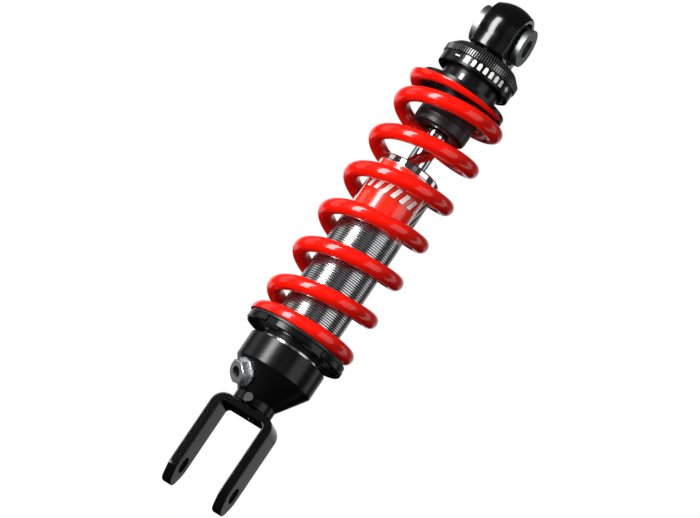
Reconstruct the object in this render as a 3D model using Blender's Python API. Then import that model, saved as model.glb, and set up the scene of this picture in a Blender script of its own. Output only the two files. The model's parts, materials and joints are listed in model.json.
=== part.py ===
"""Coil-over rear shock absorber with an eye at the top and a fork at the bottom.

Metres, +Z up. The damper axis is the Z axis, both bolt axes lie along X, and the
origin is on the lower fork bolt axis.
"""
import math

import bmesh
import bpy
from mathutils import Matrix, Vector

MM = 0.001

# ---------------------------------------------------------------- driving sizes
CLEARANCE = 0.3 * MM          # between any two pieces that touch or fit together

# Fork at the lower end
FORK_GAP = 31.0 * MM
FORK_PLATE = 6.4 * MM
FORK_BASE = 5.6 * MM
FORK_DEPTH = 22.0 * MM
FORK_AXIS_TO_BASE = 45.5 * MM
FORK_TIP_LENGTH = 14.3 * MM
FORK_TIP_WIDTH = 10.0 * MM
FORK_TIP_TAPER = 10.5 * MM
FORK_CORNER = 9.0 * MM
FORK_BOLT_HOLE = 10.0 * MM

# Foot that joins the fork to the tube
NECK_DIAMETER = 27.6 * MM
NECK_HEIGHT = 5.4 * MM
CONE_HEIGHT = 19.0 * MM
FOOT_WALL = 5.7 * MM
FOOT_RIM_HEIGHT = 16.4 * MM
FOOT_SOCKET_DEPTH = 13.8 * MM
STUD_DIAMETER = 9.4 * MM
STUD_GRIP = 12.6 * MM
STUD_RECESS = 1.6 * MM
SET_SCREW_DIAMETER = 5.0 * MM
SET_SCREW_RECESS = 1.2 * MM

# Gas valve on the foot's cone
VALVE_AZIMUTH = math.radians(-37)
FLANGE_DIAMETER = 18.0 * MM
FLANGE_THICKNESS = 1.6 * MM
HEX_FLATS = 14.0 * MM
HEX_HEIGHT = 5.0 * MM
VALVE_SHANK_DIAMETER = 10.0 * MM
VALVE_SHANK_LENGTH = 8.0 * MM
VALVE_RECESS_DIAMETER = 7.4 * MM
VALVE_RECESS_DEPTH = 3.0 * MM
SPOT_FACE_DEPTH = 2.2 * MM
WASHER_THICKNESS = 1.0 * MM
GAS_PASSAGE = 3.0 * MM

# Damper tube, its head and what they hold
TUBE_DIAMETER = 42.0 * MM
TUBE_WALL = 3.0 * MM
TUBE_LENGTH = 148.4 * MM
THREAD_LENGTH = 92.0 * MM
THREAD_RELIEF = 0.25 * MM
HEAD_FLANGE_INSET = 1.1 * MM
HEAD_FLANGE_HEIGHT = 4.2 * MM
HEAD_SPIGOT = 22.3 * MM
ROD_DIAMETER = 14.0 * MM
BUSH_WALL = 1.8 * MM
BUSH_LENGTH = 11.4 * MM
SEAL_WALL = 3.7 * MM
SEAL_HEIGHT = 4.9 * MM
WIPER_WALL = 3.4 * MM
WIPER_HEIGHT = 2.6 * MM
RING_SECTION = 1.8 * MM
FLOAT_HEIGHT = 12.0 * MM
FLOAT_ABOVE_FOOT = 28.0 * MM

# Piston group on the rod's lower shank
SHANK_DIAMETER = 10.0 * MM
TOP_OUT_HEIGHT = 6.6 * MM
TOP_OUT_DIAMETER = 24.0 * MM
PLATE_THICKNESS = 1.5 * MM
SHIM_STEP = 0.5 * MM
SHIM_INSET = 3.1 * MM           # from the bore, and from one shim to the next
SHIM_SEAT = 3.5 * MM            # smallest shim beyond the shank
PISTON_HEIGHT = 12.0 * MM
PISTON_BAND_HEIGHT = 8.0 * MM
PORT_DIAMETER = 3.4 * MM
NUT_FLATS = 17.0 * MM
NUT_HEIGHT = 8.0 * MM

# Preload ring and thrust washer
PRELOAD_INSET = 1.1 * MM
PRELOAD_HEIGHT = 4.6 * MM
PRELOAD_NOTCH_WIDTH = 8.3 * MM
PRELOAD_NOTCH_DEPTH = 2.0 * MM
PRELOAD_NOTCHES = 6
PRELOAD_ABOVE_FOOT = 4.9 * MM
THRUST_INSET = 1.6 * MM
THRUST_THICKNESS = 1.7 * MM

# Main spring
SPRING_LENGTH = 181.3 * MM
SPRING_GAP = 4.1 * MM           # between the tube and the coil
SPRING_WIRE = 10.2 * MM
SPRING_TURNS = 7.85
SPRING_END_PITCH = 11.0 * MM
SPRING_END_TURNS = 0.8
SPRING_BLEND_TURNS = 0.4
SPRING_TIP = 1.2 * MM
SPRING_TOP_ANGLE = math.radians(-17)

# Upper spring seat and bump stop
SEAT_INSET = 0.4 * MM
SEAT_THICKNESS = 4.2 * MM
SPIGOT_PLAY = 0.5 * MM
SEAT_SPIGOT_HEIGHT = 3.7 * MM
BUMP_DIAMETER = 37.2 * MM
BUMP_LENGTH = 25.2 * MM

# Rebound adjuster
ADJUSTER_DIAMETER = 39.2 * MM
ADJUSTER_HEIGHT = 11.8 * MM
RING_GRIP_DIAMETER = 52.4 * MM
RING_SKIRT_DIAMETER = 50.8 * MM
RING_TOP_DIAMETER = 43.2 * MM
RING_RECESS_DIAMETER = 45.2 * MM
RING_RECESS_DEPTH = 2.3 * MM
RING_SKIRT_HEIGHT = 6.9 * MM
RING_GRIP_HEIGHT = 5.1 * MM
RING_CONE_HEIGHT = 4.6 * MM
CAM_TURN = math.radians(60)
CAM_DROP = 1.5 * MM
CAM_PIN_DIAMETER = 2.4 * MM
CAM_PIN_REACH = 1.7 * MM
CAM_BELOW_RING_TOP = 4.0 * MM
NEEDLE_DIAMETER = 3.0 * MM
NEEDLE_HEAD_DIAMETER = 6.0 * MM
NEEDLE_HEAD_HEIGHT = 4.4 * MM
ROD_BORE = 4.4 * MM
ROD_THREAD_DIAMETER = 12.0 * MM
BLEED_DIAMETER = 2.0 * MM
DETENT_BALL = 3.0 * MM
DETENT_RADIUS = 15.5 * MM
DETENT_DEPTH = 7.0 * MM
DETENT_CLICKS = 12

# Upper eye and its spherical bearing
EYE_DIAMETER = 42.0 * MM
EYE_FACE_DIAMETER = 38.6 * MM
EYE_WIDTH = 19.5 * MM
EYE_BLOCK_DEPTH = 38.4 * MM
EYE_BLOCK_TOP = 8.4 * MM
EYE_BLOCK_BOTTOM = 17.0 * MM
EYE_ABOVE_RING = 19.1 * MM
EYE_NECK_DIAMETER = 24.0 * MM
RACE_DIAMETER = 26.0 * MM
RACE_WIDTH = 9.0 * MM
BALL_DIAMETER = 23.0 * MM
BALL_WIDTH = 12.4 * MM
CIRCLIP_THICKNESS = 1.0 * MM
CIRCLIP_INNER = 23.8 * MM
CIRCLIP_GROOVE = 29.0 * MM
SPACER_BORE = 12.0 * MM
SPACER_SLEEVE_DIAMETER = 16.0 * MM
SPACER_HEAD_DIAMETER = 25.4 * MM
SPACER_HEAD_LENGTH = 5.5 * MM
SPACER_SPAN = 35.5 * MM

# Smoothness of round pieces
ROUND_LARGE = 26
ROUND_MEDIUM = 18
ROUND_SMALL = 12

# ------------------------------------------------------------- derived heights
fork_base_top = FORK_AXIS_TO_BASE + FORK_BASE
foot_bottom = fork_base_top + CLEARANCE
cone_bottom = foot_bottom + NECK_HEIGHT
cone_top = cone_bottom + CONE_HEIGHT
foot_top = cone_top + FOOT_RIM_HEIGHT
socket_floor = foot_top - FOOT_SOCKET_DEPTH
tube_bottom = socket_floor + CLEARANCE
tube_top = tube_bottom + TUBE_LENGTH
head_top = tube_top + CLEARANCE + HEAD_FLANGE_HEIGHT
head_bottom = tube_top + CLEARANCE - HEAD_SPIGOT
preload_bottom = foot_top + PRELOAD_ABOVE_FOOT
preload_top = preload_bottom + PRELOAD_HEIGHT
thrust_bottom = preload_top + CLEARANCE
thrust_top = thrust_bottom + THRUST_THICKNESS
spring_bottom = thrust_top + CLEARANCE
spring_top = spring_bottom + SPRING_LENGTH
seat_bottom = spring_top + CLEARANCE
seat_top = seat_bottom + SEAT_THICKNESS
bump_bottom = spring_top - BUMP_LENGTH
adjuster_bottom = seat_top + CLEARANCE
adjuster_top = adjuster_bottom + ADJUSTER_HEIGHT
stem_bottom = adjuster_top + CLEARANCE
ring_bottom = stem_bottom - RING_RECESS_DEPTH
ring_top = ring_bottom + RING_SKIRT_HEIGHT + RING_GRIP_HEIGHT + RING_CONE_HEIGHT
eye_height = ring_top + EYE_ABOVE_RING
cam_height = ring_top - CAM_BELOW_RING_TOP
needle_head_bottom = cam_height - NEEDLE_HEAD_HEIGHT / 2
rod_top = needle_head_bottom - CAM_DROP - 2 * CLEARANCE

rod_radius = ROD_DIAMETER / 2
rod_fit = rod_radius + CLEARANCE
shank_fit = SHANK_DIAMETER / 2 + CLEARANCE
tube_radius = TUBE_DIAMETER / 2
bore_radius = tube_radius - TUBE_WALL
bore_fit = bore_radius - CLEARANCE
tube_fit = tube_radius + CLEARANCE
foot_radius = tube_radius + FOOT_WALL
coil_inner = tube_radius + SPRING_GAP
coil_mean = coil_inner + SPRING_WIRE / 2
coil_outer = coil_inner + SPRING_WIRE
shoulder = head_bottom - CLEARANCE - TOP_OUT_HEIGHT - CLEARANCE
plate_bottom = shoulder - CLEARANCE - PLATE_THICKNESS
shim_stack = 3 * SHIM_STEP
upper_shims_bottom = plate_bottom - CLEARANCE - shim_stack
piston_bottom = upper_shims_bottom - CLEARANCE - PISTON_HEIGHT
lower_shims_bottom = piston_bottom - CLEARANCE - shim_stack
nut_bottom = lower_shims_bottom - CLEARANCE - NUT_HEIGHT
shank_bottom = nut_bottom - 2 * MM


# --------------------------------------------------------------------- helpers
def clear_scene():
    for old in list(bpy.data.objects):
        bpy.data.objects.remove(old, do_unlink=True)


def material(name, colour, metallic, roughness):
    made = bpy.data.materials.new(name)
    made.use_nodes = True
    shader = made.node_tree.nodes["Principled BSDF"]
    shader.inputs["Base Color"].default_value = (*colour, 1.0)
    shader.inputs["Metallic"].default_value = metallic
    shader.inputs["Roughness"].default_value = roughness
    return made


def add_object(name, mesh, skin, place, smooth):
    bmesh.ops.remove_doubles(mesh, verts=mesh.verts, dist=0.000001)
    bmesh.ops.recalc_face_normals(mesh, faces=mesh.faces)
    data = bpy.data.meshes.new(name)
    mesh.to_mesh(data)
    mesh.free()
    if smooth:
        data.shade_smooth()
        data.set_sharp_from_angle(angle=math.radians(35))
    if skin:
        data.materials.append(skin)
    made = bpy.data.objects.new(name, data)
    made.location = place
    bpy.context.collection.objects.link(made)
    return made


def turned(name, outline, skin, height=0.0, sides=ROUND_MEDIUM):
    """Solid of revolution about Z. Points are (radius, height above the object's origin).

    An outline that starts and ends on the axis is left open there; any other is a ring.
    """
    mesh = bmesh.new()
    points = [mesh.verts.new((radius, 0.0, level)) for radius, level in outline]
    solid = outline[0][0] == 0.0 and outline[-1][0] == 0.0
    edges = [mesh.edges.new(pair) for pair in zip(points, points[1:])]
    if not solid:
        edges.append(mesh.edges.new((points[-1], points[0])))
    bmesh.ops.spin(mesh, geom=points + edges, cent=(0, 0, 0), axis=(0, 0, 1),
                   angle=math.tau, steps=sides, use_merge=True)
    bmesh.ops.remove_doubles(mesh, verts=mesh.verts, dist=0.000001)
    if solid:
        flat_ends = [end for end, beside in ((outline[0], outline[1]), (outline[-1], outline[-2]))
                     if end[1] == beside[1]]
        centres = [vert for vert in mesh.verts if vert.co.xy.length < 0.000001
                   and any(abs(vert.co.z - end[1]) < 0.000001 for end in flat_ends)]
        bmesh.ops.dissolve_verts(mesh, verts=centres)
    return add_object(name, mesh, skin, (0, 0, height), True)


def tube_outline(inner, outer, height, chamfer=0.0):
    """Ring section from height 0, with the outer edges chamfered."""
    if chamfer == 0.0:
        return [(inner, 0.0), (outer, 0.0), (outer, height), (inner, height)]
    return [(inner, 0.0), (outer - chamfer, 0.0), (outer, chamfer),
            (outer, height - chamfer), (outer - chamfer, height), (inner, height)]


def disc_outline(radius, height, chamfer=0.0):
    if chamfer == 0.0:
        return [(0.0, 0.0), (radius, 0.0), (radius, height), (0.0, height)]
    return [(0.0, 0.0), (radius - chamfer, 0.0), (radius, chamfer),
            (radius, height - chamfer), (radius - chamfer, height), (0.0, height)]


def round_ring_outline(inner, outer, sides=6):
    """Round section between two radii, centred on height 0."""
    middle = (inner + outer) / 2
    half = (outer - inner) / 2
    steps = [math.tau * step / sides for step in range(sides)]
    return [(middle + half * math.cos(turn), half * math.sin(turn)) for turn in steps]


def prism(name, outline, low, high, skin, smooth=False):
    """Outline in X and Y, extruded from one height to the other."""
    mesh = bmesh.new()
    face = mesh.faces.new([mesh.verts.new((x, y, low)) for x, y in outline])
    grown = bmesh.ops.extrude_face_region(mesh, geom=[face])
    moved = [item for item in grown["geom"] if isinstance(item, bmesh.types.BMVert)]
    bmesh.ops.translate(mesh, verts=moved, vec=(0, 0, high - low))
    return add_object(name, mesh, skin, (0, 0, 0), smooth)


def polygon(across_flats, corners=6, start=0.0):
    radius = across_flats / 2 / math.cos(math.pi / corners)
    turns = [start + math.tau * corner / corners for corner in range(corners)]
    return [(radius * math.cos(turn), radius * math.sin(turn)) for turn in turns]


def box(name, size, centre, skin=None):
    mesh = bmesh.new()
    bmesh.ops.create_cube(mesh, size=1.0)
    bmesh.ops.scale(mesh, vec=size, verts=mesh.verts)
    return add_object(name, mesh, skin, centre, False)


def combine(body, tool, operation):
    step = body.modifiers.new(operation.lower() + "_" + tool.name, "BOOLEAN")
    step.operation = operation
    step.solver = "EXACT"
    step.object = tool
    tool.hide_render = True
    tool.display_type = "WIRE"


def cut(body, *tools):
    for tool in tools:
        combine(body, tool, "DIFFERENCE")


def join(body, *tools):
    for tool in tools:
        combine(body, tool, "UNION")


def drill(name, diameter, start, direction, depth, sides=ROUND_SMALL):
    """Round cutter from a start point along a direction."""
    tool = turned(name, disc_outline(diameter / 2, depth), None, sides=sides)
    tool.data.transform(Matrix.Rotation(math.pi / sides, 4, "Z"))
    aim(tool, start, direction)
    return tool


def aim(made, start, direction):
    """Turn an object's own Z along a direction, with its origin at the start."""
    turn = Vector(direction).normalized().to_track_quat("Z", "Y")
    made.rotation_mode = "QUATERNION"
    made.rotation_quaternion = turn
    made.location = start


clear_scene()

black_anodised = material("black_anodised_aluminium", (0.015, 0.015, 0.016), 0.7, 0.35)
satin_black = material("satin_black_aluminium", (0.03, 0.03, 0.032), 0.6, 0.5)
black_steel = material("black_painted_steel", (0.02, 0.02, 0.02), 0.4, 0.4)
raw_steel = material("plated_steel", (0.62, 0.62, 0.60), 1.0, 0.3)
chrome = material("hard_chrome", (0.75, 0.76, 0.78), 1.0, 0.08)
aluminium = material("turned_aluminium", (0.72, 0.73, 0.74), 1.0, 0.28)
bearing_steel = material("bearing_steel", (0.55, 0.56, 0.58), 1.0, 0.15)
spring_red = material("red_coated_spring_steel", (0.75, 0.02, 0.01), 0.0, 0.25)
rubber = material("black_rubber", (0.02, 0.02, 0.02), 0.0, 0.8)
foam = material("bump_stop_urethane", (0.03, 0.03, 0.03), 0.0, 0.85)
bronze = material("sintered_bronze", (0.50, 0.32, 0.14), 1.0, 0.4)
ptfe = material("ptfe_band", (0.20, 0.14, 0.08), 0.0, 0.5)
acetal = material("acetal_washer", (0.04, 0.04, 0.04), 0.0, 0.45)


# ------------------------------------------------------------------ lower fork
# A bent strap: two legs and a base, with both bolt holes on the X axis.
def fork_outline():
    outer = FORK_GAP / 2 + FORK_PLATE
    inner = FORK_GAP / 2
    inner_corner = FORK_CORNER - FORK_PLATE
    top = fork_base_top
    ceiling = FORK_AXIS_TO_BASE
    bends = [math.radians(angle) for angle in (0, 22.5, 45, 67.5, 90)]
    right_outer = [(outer - FORK_CORNER + FORK_CORNER * math.cos(turn),
                    top - FORK_CORNER + FORK_CORNER * math.sin(turn)) for turn in bends]
    right_inner = [(inner - inner_corner + inner_corner * math.cos(turn),
                    ceiling - inner_corner + inner_corner * math.sin(turn)) for turn in bends]
    left_outer = [(-x, z) for x, z in reversed(right_outer)]
    left_inner = [(-x, z) for x, z in right_inner]
    outside = [(outer, -FORK_TIP_LENGTH)] + right_outer + left_outer + [(-outer, -FORK_TIP_LENGTH)]
    inside = [(-inner, -FORK_TIP_LENGTH)] + left_inner + right_inner[::-1] + [(inner, -FORK_TIP_LENGTH)]
    return outside + inside


# The strap is drawn in X and Z and extruded through its depth along Y.
fork = prism("fork", [(x, -z) for x, z in fork_outline()],
             -FORK_DEPTH / 2, FORK_DEPTH / 2, black_steel)
fork.data.transform(Matrix.Rotation(math.radians(-90), 4, "X"))
fork_width = FORK_GAP + 2 * FORK_PLATE
for side, sign in (("front", -1), ("back", 1)):
    taper_start = FORK_TIP_TAPER - FORK_TIP_LENGTH
    edge = sign * FORK_DEPTH / 2
    tip = sign * FORK_TIP_WIDTH / 2
    slope = [(tip, -FORK_TIP_LENGTH), (edge, taper_start), (edge + sign * 5 * MM, taper_start),
             (edge + sign * 5 * MM, -FORK_TIP_LENGTH - 5 * MM), (tip, -FORK_TIP_LENGTH - 5 * MM)]
    wedge = prism("fork_tip_cut_" + side, slope, -fork_width, fork_width, None)
    wedge.data.transform(Matrix(((0, 0, 1), (1, 0, 0), (0, 1, 0))).to_4x4())
    cut(fork, wedge)
cut(fork, drill("fork_bolt_hole_cut", FORK_BOLT_HOLE, (-fork_width, 0, 0), (1, 0, 0),
                2 * fork_width, ROUND_MEDIUM))
stud_hole = STUD_DIAMETER + 2 * CLEARANCE
cut(fork, drill("fork_base_hole_cut", stud_hole, (0, 0, FORK_AXIS_TO_BASE - 5 * MM),
                (0, 0, 1), FORK_BASE + 10 * MM))

# ------------------------------------------------------------------------ foot
# Turned aluminium cup that the tube screws into, with the gas valve on its cone.
neck_radius = NECK_DIAMETER / 2
seal_groove = tube_fit + RING_SECTION + CLEARANCE
groove_low = socket_floor + 2.0 * MM - foot_bottom
groove_high = groove_low + RING_SECTION + 2 * CLEARANCE
lower_foot = turned("lower_foot", [
    (0.0, 0.0), (neck_radius, 0.0), (neck_radius, NECK_HEIGHT),
    (foot_radius, cone_top - foot_bottom), (foot_radius, foot_top - 0.8 * MM - foot_bottom),
    (foot_radius - 0.8 * MM, foot_top - foot_bottom), (tube_fit, foot_top - foot_bottom),
    (tube_fit, groove_high), (seal_groove, groove_high), (seal_groove, groove_low),
    (tube_fit, groove_low), (tube_fit, socket_floor - foot_bottom),
    (0.0, socket_floor - foot_bottom)], black_anodised, foot_bottom, ROUND_LARGE)

cone_run = foot_radius - neck_radius
cone_slant = math.hypot(cone_run, CONE_HEIGHT)
out_radial = CONE_HEIGHT / cone_slant
out_axial = -cone_run / cone_slant
valve_radial = Vector((math.sin(VALVE_AZIMUTH), -math.cos(VALVE_AZIMUTH), 0))
valve_axis = valve_radial * out_radial + Vector((0, 0, out_axial))
cone_middle = valve_radial * ((foot_radius + neck_radius) / 2)
cone_middle = cone_middle + Vector((0, 0, cone_bottom + CONE_HEIGHT / 2))
spot_face = cone_middle - valve_axis * SPOT_FACE_DEPTH
shank_hole_depth = VALVE_SHANK_LENGTH + CLEARANCE
cut(lower_foot,
    drill("spot_face_cut", FLANGE_DIAMETER + 4 * CLEARANCE, spot_face, valve_axis, 20 * MM,
          ROUND_MEDIUM),
    drill("valve_hole_cut", VALVE_SHANK_DIAMETER + 2 * CLEARANCE, spot_face + valve_axis * MM,
          -valve_axis, shank_hole_depth + MM, ROUND_MEDIUM))
passage_start = spot_face - valve_axis * (shank_hole_depth - MM)
passage_length = (socket_floor - passage_start.z) / -out_axial + 3 * MM
cut(lower_foot, drill("gas_passage_cut", GAS_PASSAGE, passage_start, -valve_axis,
                      passage_length, 12))
stud_top = foot_bottom + STUD_GRIP
cut(lower_foot, drill("stud_hole_cut", stud_hole, (0, 0, foot_bottom - 5 * MM), (0, 0, 1),
                      5 * MM + STUD_GRIP + CLEARANCE))
set_screw_height = foot_bottom + NECK_HEIGHT / 2
cut(lower_foot, drill("set_screw_hole_cut", SET_SCREW_DIAMETER + 2 * CLEARANCE,
                      (0, 0, set_screw_height), (0, -1, 0), neck_radius + 5 * MM))

turned("foot_o_ring", round_ring_outline(tube_fit, tube_fit + RING_SECTION), rubber,
       foot_bottom + (groove_low + groove_high) / 2, ROUND_LARGE)

# Stud that holds the fork on the foot, with a key socket in its lower end.
stud_bottom = FORK_AXIS_TO_BASE + STUD_RECESS
fork_stud = turned("fork_stud", disc_outline(STUD_DIAMETER / 2, stud_top - stud_bottom, 0.5 * MM),
                   black_steel, stud_bottom, ROUND_SMALL)
cut(fork_stud, prism("stud_socket_cut", polygon(5.0 * MM), stud_bottom - MM,
                     stud_bottom + 4.0 * MM, None))

# Set screw across the neck, bearing on the stud.
set_screw_inner = STUD_DIAMETER / 2 + CLEARANCE
set_screw_length = neck_radius - SET_SCREW_RECESS - set_screw_inner
set_screw = turned("set_screw", disc_outline(SET_SCREW_DIAMETER / 2, set_screw_length, 0.4 * MM),
                   raw_steel)
aim(set_screw, (0, -set_screw_inner, set_screw_height), (0, -1, 0))
socket = prism("set_screw_socket_cut", polygon(2.5 * MM), set_screw_length - 2.5 * MM,
               set_screw_length + MM, None)
aim(socket, (0, -set_screw_inner, set_screw_height), (0, -1, 0))
cut(set_screw, socket)

# ------------------------------------------------------------------- gas valve
washer_seat = spot_face + valve_axis * CLEARANCE
valve_washer = turned("valve_washer", tube_outline(VALVE_SHANK_DIAMETER / 2 + CLEARANCE,
                                                   FLANGE_DIAMETER / 2 - 0.8 * MM,
                                                   WASHER_THICKNESS), raw_steel)
aim(valve_washer, washer_seat, valve_axis)

flange_radius = FLANGE_DIAMETER / 2
shank_radius = VALVE_SHANK_DIAMETER / 2
plug_seat = washer_seat + valve_axis * (WASHER_THICKNESS + CLEARANCE)
shank_length = VALVE_SHANK_LENGTH - WASHER_THICKNESS - 2 * CLEARANCE
valve_plug = turned("valve_plug", [
    (0.0, -shank_length), (shank_radius, -shank_length), (shank_radius, 0.0),
    (flange_radius, 0.0), (flange_radius, FLANGE_THICKNESS - 0.4 * MM),
    (flange_radius - 0.6 * MM, FLANGE_THICKNESS), (0.0, FLANGE_THICKNESS)], raw_steel)
aim(valve_plug, plug_seat, valve_axis)
hexagon = prism("valve_hexagon", polygon(HEX_FLATS), FLANGE_THICKNESS - 0.5 * MM,
                FLANGE_THICKNESS + HEX_HEIGHT, None)
corner_chamfer = HEX_FLATS / 2 + 1.0 * MM
hexagon_trim = turned("valve_hexagon_trim", [
    (0.0, 0.0), (corner_chamfer, 0.0), (corner_chamfer, FLANGE_THICKNESS + HEX_HEIGHT - 1.0 * MM),
    (HEX_FLATS / 2 - 0.4 * MM, FLANGE_THICKNESS + HEX_HEIGHT + 0.01 * MM),
    (0.0, FLANGE_THICKNESS + HEX_HEIGHT + 0.01 * MM)], None, sides=36)
combine(hexagon, hexagon_trim, "INTERSECT")
aim(hexagon, plug_seat, valve_axis)
aim(hexagon_trim, plug_seat, valve_axis)
join(valve_plug, hexagon)
recess_floor = FLANGE_THICKNESS + HEX_HEIGHT - VALVE_RECESS_DEPTH
cut(valve_plug,
    drill("valve_recess_cut", VALVE_RECESS_DIAMETER, plug_seat + valve_axis * recess_floor,
          valve_axis, VALVE_RECESS_DEPTH + 2 * MM),
    drill("valve_bore_cut", GAS_PASSAGE - 1.0 * MM, plug_seat - valve_axis * (shank_length + MM),
          valve_axis, shank_length + MM + recess_floor + MM, 12))
valve_core = turned("valve_core", disc_outline(VALVE_RECESS_DIAMETER / 2 - CLEARANCE,
                                               VALVE_RECESS_DEPTH - 1.2 * MM, 0.3 * MM), satin_black)
aim(valve_core, plug_seat + valve_axis * (recess_floor + CLEARANCE), valve_axis)

# ----------------------------------------------------------------- damper tube
# The thread is the lower stretch; the short relief above it ends the thread.
thread_end = foot_top + THREAD_LENGTH - tube_bottom
turned("damper_tube", [
    (bore_radius, 0.0), (tube_radius, 0.0), (tube_radius, thread_end),
    (tube_radius - THREAD_RELIEF, thread_end), (tube_radius - THREAD_RELIEF, TUBE_LENGTH),
    (bore_radius, TUBE_LENGTH)], aluminium, tube_bottom, ROUND_LARGE)

# Free piston between oil and gas, with its seal in a groove.
float_bottom = socket_floor + FLOAT_ABOVE_FOOT
groove_radius = bore_fit - RING_SECTION - CLEARANCE
groove_half = RING_SECTION / 2 + CLEARANCE
turned("floating_piston", [
    (0.0, 3.0 * MM), (bore_fit - 5.5 * MM, 3.0 * MM), (bore_fit - 4.5 * MM, 0.0), (bore_fit, 0.0),
    (bore_fit, FLOAT_HEIGHT / 2 - groove_half), (groove_radius, FLOAT_HEIGHT / 2 - groove_half),
    (groove_radius, FLOAT_HEIGHT / 2 + groove_half), (bore_fit, FLOAT_HEIGHT / 2 + groove_half),
    (bore_fit, FLOAT_HEIGHT), (0.0, FLOAT_HEIGHT)], aluminium, float_bottom, ROUND_LARGE)
turned("floating_piston_ring", round_ring_outline(bore_fit - RING_SECTION, bore_fit), rubber,
       float_bottom + FLOAT_HEIGHT / 2, ROUND_LARGE)

# ------------------------------------------------------------------- seal head
# Threaded plug in the tube's top with the rod's bush, seal and wiper in it.
head_low = 0.0
flange_low = HEAD_SPIGOT
head_height = head_top - head_bottom
bush_radius = rod_fit + BUSH_WALL
bush_pocket = BUSH_LENGTH + 2 * CLEARANCE
seal_low = bush_pocket + 4.0 * MM
seal_high = seal_low + SEAL_HEIGHT + 2 * CLEARANCE
wiper_low = head_height - WIPER_HEIGHT - 2 * CLEARANCE
ring_groove_low = 6.0 * MM
ring_groove_high = ring_groove_low + RING_SECTION + 2 * CLEARANCE
flange_outer = tube_radius - HEAD_FLANGE_INSET
turned("seal_head", [
    (bush_radius + CLEARANCE, head_low), (bore_fit, head_low), (bore_fit, ring_groove_low),
    (groove_radius, ring_groove_low), (groove_radius, ring_groove_high),
    (bore_fit, ring_groove_high), (bore_fit, flange_low), (flange_outer, flange_low),
    (flange_outer, head_height - 1.0 * MM), (flange_outer - 1.0 * MM, head_height),
    (rod_fit + WIPER_WALL + CLEARANCE, head_height), (rod_fit + WIPER_WALL + CLEARANCE, wiper_low),
    (rod_fit + 0.4 * MM, wiper_low), (rod_fit + 0.4 * MM, seal_high),
    (rod_fit + SEAL_WALL + CLEARANCE, seal_high), (rod_fit + SEAL_WALL + CLEARANCE, seal_low),
    (rod_fit + 0.4 * MM, seal_low), (rod_fit + 0.4 * MM, bush_pocket),
    (bush_radius + CLEARANCE, bush_pocket)], chrome, head_bottom, ROUND_LARGE)
turned("head_o_ring", round_ring_outline(bore_fit - RING_SECTION, bore_fit), rubber,
       head_bottom + (ring_groove_low + ring_groove_high) / 2, ROUND_LARGE)
turned("rod_guide_bush", tube_outline(rod_fit, bush_radius, BUSH_LENGTH), bronze,
       head_bottom + CLEARANCE)
turned("rod_seal", [
    (rod_fit, 0.0), (rod_fit + SEAL_WALL, 0.0), (rod_fit + SEAL_WALL, SEAL_HEIGHT),
    (rod_fit + SEAL_WALL * 0.6, SEAL_HEIGHT), (rod_fit + SEAL_WALL * 0.5, SEAL_HEIGHT * 0.55),
    (rod_fit, SEAL_HEIGHT * 0.8)], rubber, head_bottom + seal_low + CLEARANCE)
turned("rod_wiper", [
    (rod_fit, 0.0), (rod_fit + WIPER_WALL, 0.0), (rod_fit + WIPER_WALL, WIPER_HEIGHT * 0.75),
    (rod_fit, WIPER_HEIGHT)], rubber, head_bottom + wiper_low + CLEARANCE)

# -------------------------------------------------- preload ring, thrust washer
# The ring screws up the tube's thread; six notches take a hook spanner.
preload_radius = coil_outer - PRELOAD_INSET
preload_ring = turned("preload_ring", [
    (tube_fit, 0.0), (preload_radius - 0.7 * MM, 0.0), (preload_radius, 0.7 * MM),
    (preload_radius, PRELOAD_HEIGHT), (tube_fit, PRELOAD_HEIGHT)],
    black_anodised, preload_bottom, ROUND_LARGE + 8)
first_notch = math.radians(-109)
for notch in range(PRELOAD_NOTCHES):
    turn = first_notch + math.tau * notch / PRELOAD_NOTCHES
    reach = preload_radius - PRELOAD_NOTCH_DEPTH + 5 * MM
    slot = box("preload_notch_cut_%d" % notch, (10 * MM, PRELOAD_NOTCH_WIDTH, 4 * PRELOAD_HEIGHT),
               (reach * math.cos(turn), reach * math.sin(turn), preload_bottom))
    slot.rotation_euler = (0, 0, turn)
    cut(preload_ring, slot)
turned("thrust_washer", tube_outline(tube_fit + 0.5 * MM, coil_outer - THRUST_INSET, THRUST_THICKNESS),
       acetal, thrust_bottom, ROUND_LARGE)


# ----------------------------------------------------------------- main spring
def coil_drop(turns):
    """How far the wire's centre has come down after some turns from the top end."""
    rise_after_end = SPRING_END_TURNS + SPRING_BLEND_TURNS
    travel = SPRING_LENGTH + SPRING_WIRE - 2 * SPRING_TIP
    active_turns = SPRING_TURNS - 2 * rise_after_end + SPRING_BLEND_TURNS
    end_travel = SPRING_END_PITCH * (2 * SPRING_END_TURNS + SPRING_BLEND_TURNS)
    pitch = (travel - end_travel) / active_turns
    if turns > SPRING_TURNS / 2:
        return travel - coil_drop(SPRING_TURNS - turns)
    if turns <= SPRING_END_TURNS:
        return turns * SPRING_END_PITCH
    part = min((turns - SPRING_END_TURNS) / SPRING_BLEND_TURNS, 1.0)
    eased = part ** 3 - part ** 4 / 2
    drop = SPRING_END_TURNS * SPRING_END_PITCH
    drop += SPRING_BLEND_TURNS * (SPRING_END_PITCH * part + (pitch - SPRING_END_PITCH) * eased)
    return drop + max(turns - rise_after_end, 0.0) * pitch


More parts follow.
